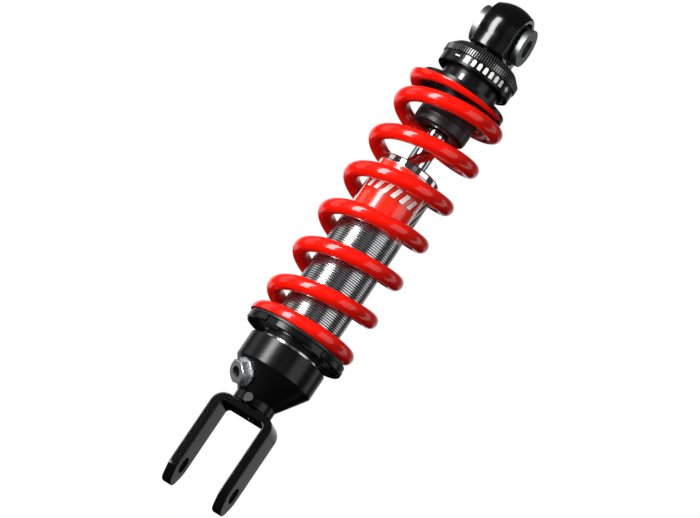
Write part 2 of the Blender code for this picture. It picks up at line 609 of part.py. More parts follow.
def wound_spring(name, skin, steps_per_turn=18, wire_sides=8):
    """Right-hand coil with closed ends, cut flat at both ends."""
    mesh = bmesh.new()
    wire = SPRING_WIRE / 2
    start = spring_top + wire - SPRING_TIP
    count = round(SPRING_TURNS * steps_per_turn)
    rings = []
    for step in range(count + 1):
        turns = SPRING_TURNS * step / count
        angle = SPRING_TOP_ANGLE - math.tau * turns
        outward = Vector((math.cos(angle), math.sin(angle), 0))
        centre = outward * coil_mean + Vector((0, 0, start - coil_drop(turns)))
        around = [math.tau * (side + 0.5) / wire_sides for side in range(wire_sides)]
        rings.append([mesh.verts.new(centre + outward * (wire * math.cos(turn))
                                     + Vector((0, 0, wire * math.sin(turn)))) for turn in around])
    for one, two in zip(rings, rings[1:]):
        for side in range(wire_sides):
            after = (side + 1) % wire_sides
            mesh.faces.new((one[side], one[after], two[after], two[side]))
    mesh.faces.new(rings[0])
    mesh.faces.new(rings[-1])
    for level, up in ((spring_top, 1), (spring_bottom, -1)):
        everything = mesh.verts[:] + mesh.edges[:] + mesh.faces[:]
        bmesh.ops.bisect_plane(mesh, geom=everything, plane_co=(0, 0, level),
                               plane_no=(0, 0, up), clear_outer=True)
        rim = [edge for edge in mesh.edges if edge.is_boundary]
        bmesh.ops.holes_fill(mesh, edges=rim)
    bmesh.ops.triangulate(mesh, faces=[face for face in mesh.faces if len(face.verts) > 4])
    return add_object(name, mesh, skin, (0, 0, 0), True)


wound_spring("main_spring", spring_red)

# ------------------------------------------------------------------ piston rod
# Hard chromed shaft: threaded top end, stepped lower shank, bored for the needle.
thread_radius = ROD_THREAD_DIAMETER / 2
rod_length = rod_top - shank_bottom
needle_bore = ROD_BORE / 2
seat_cone = 6.0 * MM
piston_rod = turned("piston_rod", [
    (BLEED_DIAMETER / 2, 0.0), (SHANK_DIAMETER / 2, 0.0),
    (SHANK_DIAMETER / 2, shoulder - shank_bottom), (rod_radius, shoulder - shank_bottom),
    (rod_radius, seat_top - shank_bottom), (thread_radius, seat_top - shank_bottom),
    (thread_radius, rod_length), (needle_bore, rod_length), (needle_bore, seat_cone + 3.0 * MM),
    (BLEED_DIAMETER / 2, seat_cone)], chrome, shank_bottom)

# Cross ports let oil past the needle's point into the shank.
bleed_height = shoulder + 2.5 * MM
cut(piston_rod, drill("bleed_port_cut", BLEED_DIAMETER, (0, -rod_radius - MM, bleed_height),
                      (0, 1, 0), ROD_DIAMETER + 2 * MM, 8))

# ---------------------------------------------------------------- piston group
turned("top_out_rubber", tube_outline(rod_fit, TOP_OUT_DIAMETER / 2, TOP_OUT_HEIGHT, 1.0 * MM),
       rubber, shoulder + CLEARANCE)
turned("top_out_plate", tube_outline(shank_fit, TOP_OUT_DIAMETER / 2 + MM, PLATE_THICKNESS),
       raw_steel, plate_bottom)


def shim_outline(widest_first):
    widths = (bore_fit - SHIM_INSET, bore_fit - 2 * SHIM_INSET, shank_fit + SHIM_SEAT)
    if not widest_first:
        widths = widths[::-1]
    outline = [(shank_fit, 0.0)]
    for step, width in enumerate(widths):
        outline.append((width, step * SHIM_STEP))
        outline.append((width, (step + 1) * SHIM_STEP))
    return outline + [(shank_fit, shim_stack)]


turned("compression_shims", shim_outline(True), raw_steel, upper_shims_bottom)
turned("rebound_shims", shim_outline(False), raw_steel, lower_shims_bottom)

band_radius = bore_fit - RING_SECTION
band_low = (PISTON_HEIGHT - PISTON_BAND_HEIGHT) / 2
band_high = band_low + PISTON_BAND_HEIGHT
piston = turned("piston", [
    (shank_fit, 0.0), (bore_fit - 0.4 * MM, 0.0), (bore_fit - 0.4 * MM, band_low - CLEARANCE),
    (band_radius - CLEARANCE, band_low - CLEARANCE), (band_radius - CLEARANCE, band_high + CLEARANCE),
    (bore_fit - 0.4 * MM, band_high + CLEARANCE), (bore_fit - 0.4 * MM, PISTON_HEIGHT),
    (shank_fit, PISTON_HEIGHT)], aluminium, piston_bottom, ROUND_LARGE)
for port in range(6):
    turn = math.tau * port / 6 + math.pi / ROUND_LARGE
    port_radius = (shank_fit + band_radius) / 2
    place = (port_radius * math.cos(turn), port_radius * math.sin(turn), piston_bottom - MM)
    cut(piston, drill("piston_port_cut_%d" % port, PORT_DIAMETER, place, (0, 0, 1),
                      PISTON_HEIGHT + 2 * MM, 10))
turned("piston_band", tube_outline(band_radius, bore_fit, PISTON_BAND_HEIGHT), ptfe,
       piston_bottom + band_low, ROUND_LARGE)

piston_nut = prism("piston_nut", polygon(NUT_FLATS), nut_bottom, nut_bottom + NUT_HEIGHT, raw_steel)
cut(piston_nut, drill("piston_nut_bore_cut", 2 * shank_fit, (0, 0, nut_bottom - MM), (0, 0, 1),
                      NUT_HEIGHT + 2 * MM, ROUND_MEDIUM))

# ---------------------------------------------------- upper seat and bump stop
seat_radius = coil_mean - SEAT_INSET
spigot_radius = coil_inner - SPIGOT_PLAY
bump_radius = BUMP_DIAMETER / 2
turned("upper_spring_seat", [
    (bump_radius + CLEARANCE, -SEAT_SPIGOT_HEIGHT), (spigot_radius - 0.5 * MM, -SEAT_SPIGOT_HEIGHT),
    (spigot_radius, 0.5 * MM - SEAT_SPIGOT_HEIGHT), (spigot_radius, 0.0), (seat_radius, 0.0),
    (seat_radius, SEAT_THICKNESS - 1.0 * MM), (seat_radius - 1.0 * MM, SEAT_THICKNESS),
    (rod_fit, SEAT_THICKNESS), (rod_fit, 0.0), (bump_radius + CLEARANCE, 0.0)],
    black_anodised, seat_bottom, ROUND_LARGE)
turned("bump_stop", [
    (rod_fit, 2.5 * MM), (rod_fit + 3.0 * MM, 0.6 * MM), (bump_radius - 4.0 * MM, 0.0),
    (bump_radius - 1.2 * MM, 0.6 * MM), (bump_radius, 2.2 * MM), (bump_radius, BUMP_LENGTH),
    (rod_fit, BUMP_LENGTH)], foam, bump_bottom)

# ------------------------------------------------------------ rebound adjuster
# A plain body on the rod's thread carries the click ball; the ring turns over it.
adjuster_radius = ADJUSTER_DIAMETER / 2
adjuster_body = turned("adjuster_body", [
    (thread_radius + CLEARANCE, 0.0), (adjuster_radius - 0.5 * MM, 0.0), (adjuster_radius, 0.5 * MM),
    (adjuster_radius, ADJUSTER_HEIGHT - 0.5 * MM), (adjuster_radius - 0.5 * MM, ADJUSTER_HEIGHT),
    (thread_radius + CLEARANCE, ADJUSTER_HEIGHT)], black_anodised, adjuster_bottom, ROUND_LARGE)
ball_radius = DETENT_BALL / 2
detent_hole = DETENT_BALL + 2 * CLEARANCE
cut(adjuster_body, drill("detent_hole_cut", detent_hole,
                         (0, DETENT_RADIUS, adjuster_top - DETENT_DEPTH), (0, 0, 1),
                         DETENT_DEPTH + MM))

neck_fit = EYE_NECK_DIAMETER / 2 + CLEARANCE
skirt_radius = RING_SKIRT_DIAMETER / 2
grip_radius = RING_GRIP_DIAMETER / 2
recess_radius = RING_RECESS_DIAMETER / 2
grip_low = RING_SKIRT_HEIGHT + 0.4 * MM
grip_high = RING_SKIRT_HEIGHT + RING_GRIP_HEIGHT
rebound_ring = turned("rebound_ring", [
    (recess_radius, 0.0), (skirt_radius, 0.0), (skirt_radius, RING_SKIRT_HEIGHT - 0.2 * MM),
    (grip_radius, grip_low), (grip_radius, grip_high),
    (RING_TOP_DIAMETER / 2, grip_high + RING_CONE_HEIGHT), (neck_fit, grip_high + RING_CONE_HEIGHT),
    (neck_fit, RING_RECESS_DEPTH), (recess_radius, RING_RECESS_DEPTH)],
    black_anodised, ring_bottom, ROUND_LARGE + 8)


def cam_groove(name, start_angle, steps=8):
    """Helical slot that moves the cross pin down as the ring turns."""
    half = CAM_PIN_DIAMETER / 2 + CLEARANCE + 0.1 * MM
    inner = neck_fit - 1.0 * MM
    outer = neck_fit + CAM_PIN_REACH + CLEARANCE
    run_out = half / neck_fit
    mesh = bmesh.new()
    sections = []
    for step in range(steps + 1):
        part = step / steps
        angle = -run_out + part * (CAM_TURN + 2 * run_out)
        level = cam_height - CAM_DROP * angle / CAM_TURN
        turn = start_angle + angle
        corners = ((inner, -half), (outer, -half), (outer, half), (inner, half))
        sections.append([mesh.verts.new((radius * math.cos(turn), radius * math.sin(turn),
                                         level + offset)) for radius, offset in corners])
    for one, two in zip(sections, sections[1:]):
        for side in range(4):
            after = (side + 1) % 4
            mesh.faces.new((one[side], one[after], two[after], two[side]))
    mesh.faces.new(sections[0])
    mesh.faces.new(sections[-1])
    return add_object(name, mesh, None, (0, 0, 0), False)


cut(rebound_ring, cam_groove("cam_groove_right_cut", 0.0), cam_groove("cam_groove_left_cut", math.pi))
click_angle = CAM_TURN / DETENT_CLICKS
notch_ceiling = ring_bottom + RING_RECESS_DEPTH
for click in range(DETENT_CLICKS + 1):
    turn = math.pi / 2 + click * click_angle
    dimple = turned("click_dimple_cut_%02d" % click,
                    [(0.0, -0.5 * MM), (0.9 * MM, -0.5 * MM), (0.0, 0.5 * MM)], None, sides=8)
    dimple.location = (DETENT_RADIUS * math.cos(turn), DETENT_RADIUS * math.sin(turn), notch_ceiling)
    cut(rebound_ring, dimple)

detent_ball = turned("detent_ball", [(ball_radius * math.sin(angle), -ball_radius * math.cos(angle))
                                     for angle in [math.pi * step / 8 for step in range(9)]],
                     bearing_steel, sides=ROUND_SMALL)
ball_height = adjuster_top - ball_radius
detent_ball.location = (0, DETENT_RADIUS, ball_height)


def click_spring(name, skin, wire=0.5 * MM, turns=4):
    """Small coil under the click ball, drawn as a capped tube along a helix."""
    curve = bpy.data.curves.new(name, "CURVE")
    curve.dimensions = "3D"
    curve.bevel_depth = wire / 2
    curve.bevel_resolution = 0
    curve.use_fill_caps = True
    low = adjuster_top - DETENT_DEPTH + CLEARANCE + wire / 2
    high = ball_height - ball_radius - CLEARANCE - wire / 2
    mean = ball_radius - wire / 2 - 0.1 * MM
    count = turns * 8
    line = curve.splines.new("POLY")
    line.points.add(count)
    for step, point in enumerate(line.points):
        angle = math.tau * turns * step / count
        level = low + (high - low) * step / count
        point.co = (mean * math.cos(angle), mean * math.sin(angle), level, 1.0)
    made = bpy.data.objects.new(name, curve)
    made.location = (0, DETENT_RADIUS, 0)
    curve.materials.append(skin)
    bpy.context.collection.objects.link(made)
    return made


click_spring("detent_spring", raw_steel)

# Needle down the rod's bore; its head holds the cross pin that rides in the cam.
head_radius = NEEDLE_HEAD_DIAMETER / 2
needle_radius = NEEDLE_DIAMETER / 2
needle_top = needle_head_bottom + NEEDLE_HEAD_HEIGHT
needle_point = shank_bottom + seat_cone + 3.0 * MM + CAM_DROP + CLEARANCE
rebound_needle = turned("rebound_needle", [
    (0.0, 0.0), (0.3 * MM, 0.0), (needle_radius, 4.0 * MM),
    (needle_radius, needle_head_bottom - needle_point), (head_radius, needle_head_bottom - needle_point),
    (head_radius, needle_top - needle_point), (0.0, needle_top - needle_point)],
    raw_steel, needle_point, ROUND_SMALL)
pin_reach = neck_fit + CAM_PIN_REACH
cut(rebound_needle, drill("needle_pin_hole_cut", CAM_PIN_DIAMETER + 2 * CLEARANCE,
                          (-pin_reach, 0, cam_height), (1, 0, 0), 2 * pin_reach, 12))
cam_pin = turned("cam_pin", disc_outline(CAM_PIN_DIAMETER / 2, 2 * pin_reach, 0.3 * MM),
                 bearing_steel, sides=12)
aim(cam_pin, (-pin_reach, 0, cam_height), (1, 0, 0))

# ------------------------------------------------------------------- upper eye
# Crowned barrel round the bearing, a square block under it and a round neck.
crown_steps = 5
half_width = EYE_WIDTH / 2
face_radius = EYE_FACE_DIAMETER / 2
crown = EYE_DIAMETER / 2 - face_radius
barrel_edge = [(face_radius + crown * math.sqrt(1 - (level / half_width) ** 2), level)
               for level in [half_width * (step / crown_steps * 2 - 1)
                             for step in range(crown_steps + 1)]]
upper_eye = turned("upper_eye", [(0.0, -half_width)] + barrel_edge + [(0.0, half_width)],
                   black_anodised, sides=ROUND_LARGE)
aim(upper_eye, (0, 0, eye_height), (1, 0, 0))
block_height = EYE_BLOCK_BOTTOM - EYE_BLOCK_TOP
block = box("eye_block", (EYE_WIDTH - 0.02 * MM, EYE_BLOCK_DEPTH, block_height),
            (0, 0, eye_height - EYE_BLOCK_TOP - block_height / 2))
neck_top = eye_height - EYE_BLOCK_BOTTOM + 2.0 * MM
neck = turned("eye_neck", disc_outline(EYE_NECK_DIAMETER / 2, neck_top - stem_bottom), None,
              stem_bottom)
join(upper_eye, block, neck)
race_fit = RACE_DIAMETER / 2 + CLEARANCE
circlip_centre = RACE_WIDTH / 2 + CLEARANCE + CIRCLIP_THICKNESS / 2
bore_line = [(0.0, -EYE_WIDTH), (race_fit + 0.8 * MM, -EYE_WIDTH),
             (race_fit + 0.8 * MM, -half_width), (race_fit, 0.8 * MM - half_width)]
for centre in (-circlip_centre, circlip_centre):
    groove_reach = CIRCLIP_THICKNESS / 2 + CLEARANCE
    bore_line += [(race_fit, centre - groove_reach), (CIRCLIP_GROOVE / 2, centre - groove_reach),
                  (CIRCLIP_GROOVE / 2, centre + groove_reach), (race_fit, centre + groove_reach)]
bore_line += [(race_fit, half_width - 0.8 * MM), (race_fit + 0.8 * MM, half_width),
              (race_fit + 0.8 * MM, EYE_WIDTH), (0.0, EYE_WIDTH)]
bearing_bore = turned("bearing_bore_cut", bore_line, None, sides=ROUND_LARGE)
aim(bearing_bore, (0, 0, eye_height), (1, 0, 0))
thread_hole = 2 * (thread_radius + CLEARANCE)
slot_top = cam_height + CAM_PIN_DIAMETER / 2 + CLEARANCE
slot_bottom = cam_height - CAM_PIN_DIAMETER / 2 - CLEARANCE - CAM_DROP
cut(upper_eye, bearing_bore,
    drill("rod_thread_hole_cut", thread_hole, (0, 0, stem_bottom - MM), (0, 0, 1),
          rod_top + CLEARANCE - stem_bottom + MM, ROUND_MEDIUM),
    drill("needle_head_hole_cut", NEEDLE_HEAD_DIAMETER + 2 * CLEARANCE + 0.4 * MM,
          (0, 0, rod_top), (0, 0, 1), needle_top + 2 * CLEARANCE - rod_top),
    box("cam_pin_slot_cut", (EYE_WIDTH * 2, CAM_PIN_DIAMETER + 2 * CLEARANCE, slot_top - slot_bottom),
        (0, 0, (slot_top + slot_bottom) / 2)))

# ----------------------------------------------------------- spherical bearing
ball_half = BALL_WIDTH / 2
ball_sphere = BALL_DIAMETER / 2
socket_sphere = ball_sphere + CLEARANCE
race_half = RACE_WIDTH / 2
race_angles = [math.asin(race_half / socket_sphere) * (step / 3 - 1) for step in range(7)]
race_curve = [(socket_sphere * math.cos(angle), socket_sphere * math.sin(angle))
              for angle in race_angles]
bearing_race = turned("bearing_race", [(RACE_DIAMETER / 2, race_half), (RACE_DIAMETER / 2, -race_half)]
                      + race_curve, bearing_steel, sides=ROUND_LARGE)
ball_angles = [math.asin(ball_half / ball_sphere) * (step / 4 - 1) for step in range(9)]
ball_curve = [(ball_sphere * math.cos(angle), ball_sphere * math.sin(angle)) for angle in ball_angles]
sleeve_fit = SPACER_SLEEVE_DIAMETER / 2 + CLEARANCE
bearing_ball = turned("bearing_ball", [(sleeve_fit, ball_half), (sleeve_fit, -ball_half)] + ball_curve,
                      bearing_steel, sides=ROUND_LARGE)
for round_piece in (bearing_race, bearing_ball):
    aim(round_piece, (0, 0, eye_height), (1, 0, 0))


def circlip(name, side):
    """Open ring in the eye's groove, with a gap of 20 degrees."""
    outer = CIRCLIP_GROOVE / 2 - CLEARANCE
    inner = CIRCLIP_INNER / 2
    gap = math.radians(20)
    sweep = [gap / 2 + (math.tau - gap) * step / 24 for step in range(25)]
    outside = [(outer * math.cos(turn), outer * math.sin(turn)) for turn in sweep]
    inside = [(inner * math.cos(turn), inner * math.sin(turn)) for turn in reversed(sweep)]
    half = CIRCLIP_THICKNESS / 2
    made = prism(name, outside + inside, -half, half, raw_steel)
    aim(made, (side * circlip_centre, 0, eye_height), (1, 0, 0))
    return made


seal_inner = SPACER_SLEEVE_DIAMETER / 2 + CLEARANCE
seal_low = circlip_centre + CIRCLIP_THICKNESS / 2 + CLEARANCE
head_face = SPACER_SPAN / 2 - SPACER_HEAD_LENGTH
seal_length = head_face - CLEARANCE - seal_low
seal_outer = race_fit - CLEARANCE
ball_rim = math.sqrt(ball_sphere ** 2 - seal_low ** 2) + CLEARANCE
seal_throat = ball_half - seal_low + 3 * CLEARANCE
for side, sign in (("left", -1), ("right", 1)):
    circlip("circlip_" + side, sign)
    dust_seal = turned("dust_seal_" + side, [
        (ball_rim, 0.0), (seal_outer, 0.0), (seal_outer, seal_length * 0.62),
        (seal_outer - 0.9 * MM, seal_length * 0.72), (seal_outer - 1.1 * MM, seal_length),
        (seal_inner, seal_length), (seal_inner, seal_throat)], rubber)
    aim(dust_seal, (sign * seal_low, 0, eye_height), (sign, 0, 0))
    spacer = turned("spacer_" + side, [
        (SPACER_BORE / 2, CLEARANCE), (SPACER_SLEEVE_DIAMETER / 2, CLEARANCE),
        (SPACER_SLEEVE_DIAMETER / 2, head_face), (SPACER_HEAD_DIAMETER / 2, head_face),
        (SPACER_HEAD_DIAMETER / 2, SPACER_SPAN / 2 - 0.6 * MM),
        (SPACER_HEAD_DIAMETER / 2 - 0.6 * MM, SPACER_SPAN / 2), (SPACER_BORE / 2, SPACER_SPAN / 2)],
        aluminium, sides=ROUND_LARGE)
    aim(spacer, (0, 0, eye_height), (sign, 0, 0))
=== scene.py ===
import json
import math

import bmesh
import bpy
from mathutils import Matrix, Vector
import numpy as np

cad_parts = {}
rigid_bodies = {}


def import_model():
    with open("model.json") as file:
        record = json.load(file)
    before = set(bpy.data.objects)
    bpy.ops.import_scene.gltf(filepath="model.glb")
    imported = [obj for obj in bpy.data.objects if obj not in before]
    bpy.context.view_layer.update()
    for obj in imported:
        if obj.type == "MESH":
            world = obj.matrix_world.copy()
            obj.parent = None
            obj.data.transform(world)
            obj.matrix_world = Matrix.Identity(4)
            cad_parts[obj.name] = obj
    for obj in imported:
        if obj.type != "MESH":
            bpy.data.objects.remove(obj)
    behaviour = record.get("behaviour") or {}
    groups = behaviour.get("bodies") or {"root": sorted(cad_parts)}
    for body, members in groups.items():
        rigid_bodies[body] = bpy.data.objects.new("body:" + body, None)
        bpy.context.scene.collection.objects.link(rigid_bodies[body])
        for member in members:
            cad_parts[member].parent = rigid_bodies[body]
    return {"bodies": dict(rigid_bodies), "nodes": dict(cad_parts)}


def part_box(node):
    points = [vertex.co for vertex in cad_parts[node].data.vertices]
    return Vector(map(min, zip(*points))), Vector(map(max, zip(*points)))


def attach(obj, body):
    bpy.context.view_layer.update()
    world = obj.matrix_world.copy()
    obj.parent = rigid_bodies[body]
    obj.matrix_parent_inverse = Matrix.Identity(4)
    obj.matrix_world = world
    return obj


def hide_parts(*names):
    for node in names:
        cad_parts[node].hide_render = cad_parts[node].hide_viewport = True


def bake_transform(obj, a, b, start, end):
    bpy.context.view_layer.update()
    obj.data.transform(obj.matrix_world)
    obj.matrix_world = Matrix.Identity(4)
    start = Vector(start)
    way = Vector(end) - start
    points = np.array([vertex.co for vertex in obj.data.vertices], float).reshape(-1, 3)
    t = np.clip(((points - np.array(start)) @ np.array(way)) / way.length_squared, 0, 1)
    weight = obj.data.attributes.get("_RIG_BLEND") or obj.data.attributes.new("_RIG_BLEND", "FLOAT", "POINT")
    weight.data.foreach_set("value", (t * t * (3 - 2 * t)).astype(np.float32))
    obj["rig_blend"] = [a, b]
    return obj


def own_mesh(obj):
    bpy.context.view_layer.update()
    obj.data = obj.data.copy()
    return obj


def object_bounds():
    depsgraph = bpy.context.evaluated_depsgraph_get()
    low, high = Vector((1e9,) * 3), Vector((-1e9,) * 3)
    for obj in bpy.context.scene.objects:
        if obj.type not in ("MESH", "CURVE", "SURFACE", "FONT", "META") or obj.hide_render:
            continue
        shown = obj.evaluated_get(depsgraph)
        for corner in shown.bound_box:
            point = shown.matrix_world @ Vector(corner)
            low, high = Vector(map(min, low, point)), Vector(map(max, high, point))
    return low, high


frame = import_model()
cad_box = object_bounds()
MM = 0.001

# ------------------------------------------------------------------ lower fork
# A strap of 6.4 mm steel plate bent into a U, its ends cut to a taper and bored
# for the lower bolt, its edges broken all round. Phosphated and e-coated black.
fork_low, fork_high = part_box("fork")
fork_plate = 6.4 * MM
fork_base = 5.6 * MM
fork_corner = 9.0 * MM
fork_tip_width = 10.0 * MM
fork_tip_taper = 10.5 * MM
fork_tip_round = 4.0 * MM
fork_edge = 0.7 * MM
fork_bolt_hole = 10.0 * MM
fork_stud_hole = 10.0 * MM


def linear(code):
    """Linear colour from an sRGB hex value such as "#c01010"."""
    shares = [int(code[at:at + 2], 16) / 255 for at in (1, 3, 5)]
    return [share / 12.92 if share <= 0.04045 else ((share + 0.055) / 1.055) ** 2.4
            for share in shares] + [1.0]


def add_node(owner, kind, inputs=None, **settings):
    """Adds a shader node; an input given as a socket is linked, any other is set."""
    made = owner.node_tree.nodes.new("ShaderNode" + kind)
    for name, value in settings.items():
        setattr(made, name, value)
    for name, value in (inputs or {}).items():
        if isinstance(value, bpy.types.NodeSocket):
            owner.node_tree.links.new(value, made.inputs[name])
        else:
            made.inputs[name].default_value = value
    return made


def finish(name, colour, metallic, roughness, **sockets):
    """A material whose even values sit on its shader; Coat_Weight means Coat Weight."""
    made = bpy.data.materials.new(name)
    made.use_nodes = True
    shader = made.node_tree.nodes["Principled BSDF"]
    values = {"Base_Color": linear(colour), "Metallic": metallic, "Roughness": roughness}
    for socket, value in {**values, **sockets}.items():
        shader.inputs[socket.replace("_", " ")].default_value = value
    return made


def grained(made, colours, patch, grain, depth, roughness, stretch=(1, 1, 1)):
    """Gives a material its cloudy colour change over patches and its fine grain.

    Patch and grain are the real sizes of each pattern, depth is the grain's height, and
    roughness the lowest and highest that it moves between. Stretch draws the grain out.
    """
    shader = made.node_tree.nodes["Principled BSDF"]
    place = add_node(made, "TexCoord").outputs["Object"]
    cloud = add_node(made, "TexNoise", {"Vector": place, "Scale": 1 / patch, "Detail": 2.0})
    tint = add_node(made, "Mix", {"Factor": cloud.outputs["Fac"]}, data_type="RGBA")
    tint.inputs["A"].default_value = linear(colours[0])
    tint.inputs["B"].default_value = linear(colours[1])
    drawn = add_node(made, "Mapping", {"Vector": place, "Scale": stretch})
    noise = add_node(made, "TexNoise", {"Vector": drawn.outputs["Vector"], "Scale": 1 / grain,
                                        "Detail": 3.0})
    gloss = add_node(made, "MapRange", {"Value": noise.outputs["Fac"], "From Min": 0.3,
                                        "From Max": 0.7, "To Min": roughness[0],
                                        "To Max": roughness[1]})
    relief = add_node(made, "Bump", {"Height": noise.outputs["Fac"], "Distance": depth})
    for source, socket in ((tint.outputs["Result"], "Base Color"),
                           (gloss.outputs["Result"], "Roughness"),
                           (relief.outputs["Normal"], "Normal")):
        made.node_tree.links.new(source, shader.inputs[socket])
    return made


def piece(name, mesh, skin, place=Matrix(), sharp=32):
    """Object from a mesh in the making, moved to its place and shaded smooth between edges."""
    bmesh.ops.remove_doubles(mesh, verts=mesh.verts, dist=0.0000005)
    bmesh.ops.dissolve_degenerate(mesh, edges=mesh.edges, dist=0.0000005)
    bmesh.ops.recalc_face_normals(mesh, faces=mesh.faces)
    data = bpy.data.meshes.new(name)
    mesh.to_mesh(data)
    mesh.free()
    data.transform(place)
    data.shade_smooth()
    data.set_sharp_from_angle(angle=math.radians(sharp))
    if skin:
        data.materials.append(skin)
    made = bpy.data.objects.new(name, data)
    bpy.context.collection.objects.link(made)
    if skin:
        even_shading(made)
    return made


def settle(made, sharp=32):
    """Writes a piece's modifiers into its mesh, whose normals follow its faces again."""
    graph = bpy.context.evaluated_depsgraph_get()
    made.data = bpy.data.meshes.new_from_object(made.evaluated_get(graph), depsgraph=graph,
                                                preserve_all_data_layers=True)
    made.modifiers.clear()
    if "custom_normal" in made.data.attributes:
        made.data.attributes.remove(made.data.attributes["custom_normal"])
    made.data.set_sharp_from_angle(angle=math.radians(sharp))


def even_shading(made):
    """Lets each large face keep its own normals, so that only the narrow ones round off."""
    step = made.modifiers.new("normals", "WEIGHTED_NORMAL")
    step.keep_sharp = True
    step.weight = 100
    graph = bpy.context.evaluated_depsgraph_get()
    made.data = bpy.data.meshes.new_from_object(made.evaluated_get(graph), depsgraph=graph,
                                                preserve_all_data_layers=True)
    made.modifiers.clear()


def carve(body, *tools, operation="DIFFERENCE"):
    """Cuts tools away from a piece, or joins or intersects it with them, and drops them."""
    for tool in tools:
        step = body.modifiers.new("carve", "BOOLEAN")
        step.object = tool
        step.operation = operation
    settle(body)
    even_shading(body)
    for tool in tools:
        bpy.data.objects.remove(tool)


def break_edges(made, width, steps=3, angle=35):
    """Rounds every edge sharper than an angle."""
    step = made.modifiers.new("edges", "BEVEL")
    step.width = width
    step.segments = steps
    step.limit_method = "ANGLE"
    step.angle_limit = math.radians(angle)
    settle(made, sharp=40)
    even_shading(made)


def arc(centre, radius, start, end, steps=8):
    """Points round a centre, from one angle in degrees to another."""
    turns = [math.radians(start + (end - start) * step / steps) for step in range(steps + 1)]
    return [(centre[0] + radius * math.cos(turn), centre[1] + radius * math.sin(turn))
            for turn in turns]


def eased(outline, radius, steps=3):
    """Outline with its inner points rounded, by no more than 0.4 of the shorter side."""
    points = [outline[0]]
    for before, corner, after in zip(outline, outline[1:], outline[2:]):
        here, one, two = Vector(corner), Vector(before), Vector(after)
        reach = min(radius, 0.4 * (one - here).length, 0.4 * (two - here).length)
        start = here + (one - here).normalized() * reach
        end = here + (two - here).normalized() * reach
        for step in range(steps + 1):
            part = step / steps
            bend = start * (1 - part) ** 2 + here * (2 * part * (1 - part)) + end * part ** 2
            points.append((bend.x, bend.y))
    return points + [outline[-1]]


def prism(outline, low, high):
    """Outline in X and Y, extruded along Z."""
    mesh = bmesh.new()
    face = mesh.faces.new([mesh.verts.new((x, y, low)) for x, y in outline])
    grown = bmesh.ops.extrude_face_region(mesh, geom=[face])
    moved = [item for item in grown["geom"] if isinstance(item, bmesh.types.BMVert)]
    bmesh.ops.translate(mesh, verts=moved, vec=(0, 0, high - low))
    return mesh


def turned(outline, sides=96):
    """Mesh turned about Z from (radius, height) points, closed on the axis or on itself."""
    mesh = bmesh.new()
    rings = []
    for radius, height in outline:
        count = sides if radius > 0 else 1
        rings.append([mesh.verts.new((radius * math.cos(math.tau * side / sides),
                                      radius * math.sin(math.tau * side / sides), height))
                      for side in range(count)])
    if outline[0][0] > 0:
        rings.append(rings[0])
    for one, two in zip(rings, rings[1:]):
        for side in range(sides):
            after = (side + 1) % sides
            corners = [one[side % len(one)], one[after % len(one)],
                       two[after % len(two)], two[side % len(two)]]
            corners = list(dict.fromkeys(corners))
            if len(corners) > 2:
                mesh.faces.new(corners)
    return mesh


def aimed(origin, direction):
    """Matrix that puts a turned shape's base at the origin, with its Z along a direction."""
    turn = Vector(direction).to_track_quat("Z", "Y").to_matrix().to_4x4()
    return Matrix.Translation(origin) @ turn


def drill(diameter, origin, direction, depth, sides=64):
    """Round cutter."""
    radius = diameter / 2
    return piece("drill", turned([(0, 0), (radius, 0), (radius, depth), (0, depth)], sides), None,
                 aimed(origin, direction))


# Electrocoat over phosphate: a thin black skin, glossy on the broken edges and slightly
# uneven. Its real ripple is about 1 mm across; 6 mm is drawn, so that it still shows.
electrocoat = grained(
    finish("electrocoated_steel", "#060607", 0.0, 0.07),
    ("#050506", "#0a0a0b"), patch=9 * MM, grain=6 * MM, depth=0.0002 * MM,
    roughness=(0.068, 0.072))

half_out = fork_high.x
half_in = half_out - fork_plate
ceiling = fork_high.z - fork_base
inner_corner = fork_corner - fork_plate
outer_bend = arc((half_out - fork_corner, fork_high.z - fork_corner), fork_corner, 0, 90, 12)
inner_bend = arc((half_in - inner_corner, ceiling - inner_corner), inner_corner, 90, 0, 8)
strap = [(half_out, fork_low.z)] + outer_bend + [(-x, z) for x, z in outer_bend[::-1]]
strap += [(-half_out, fork_low.z), (-half_in, fork_low.z)]
strap += [(-x, z) for x, z in inner_bend[::-1]] + inner_bend + [(half_in, fork_low.z)]
stand = Matrix.Rotation(math.radians(90), 4, "X")
fork = piece("bent_fork", prism(strap, fork_low.y, fork_high.y), electrocoat, stand)
taper_start = fork_low.z + fork_tip_taper
spare = 5 * MM
half_depth = fork_high.y
side_view = [(0, fork_high.z + spare), (-half_depth, fork_high.z + spare),
             (-half_depth, taper_start), (-fork_tip_width / 2, fork_low.z),
             (fork_tip_width / 2, fork_low.z), (half_depth, taper_start),
             (half_depth, fork_high.z + spare), (0, fork_high.z + spare)]
along_x = Matrix(((0, 0, 1), (1, 0, 0), (0, 1, 0))).to_4x4()
carve(fork, piece("side_view", prism(eased(side_view, fork_tip_round, 6)[:-1],
                                     -half_out - spare, half_out + spare), None, along_x),
      operation="INTERSECT")
carve(fork, drill(fork_bolt_hole, (-half_out - spare, 0, 0), (1, 0, 0), 2 * half_out + 2 * spare),
      drill(fork_stud_hole, (0, 0, ceiling - spare), (0, 0, 1), fork_base + 2 * spare))
break_edges(fork, fork_edge)
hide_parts("fork")
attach(fork, "lower")

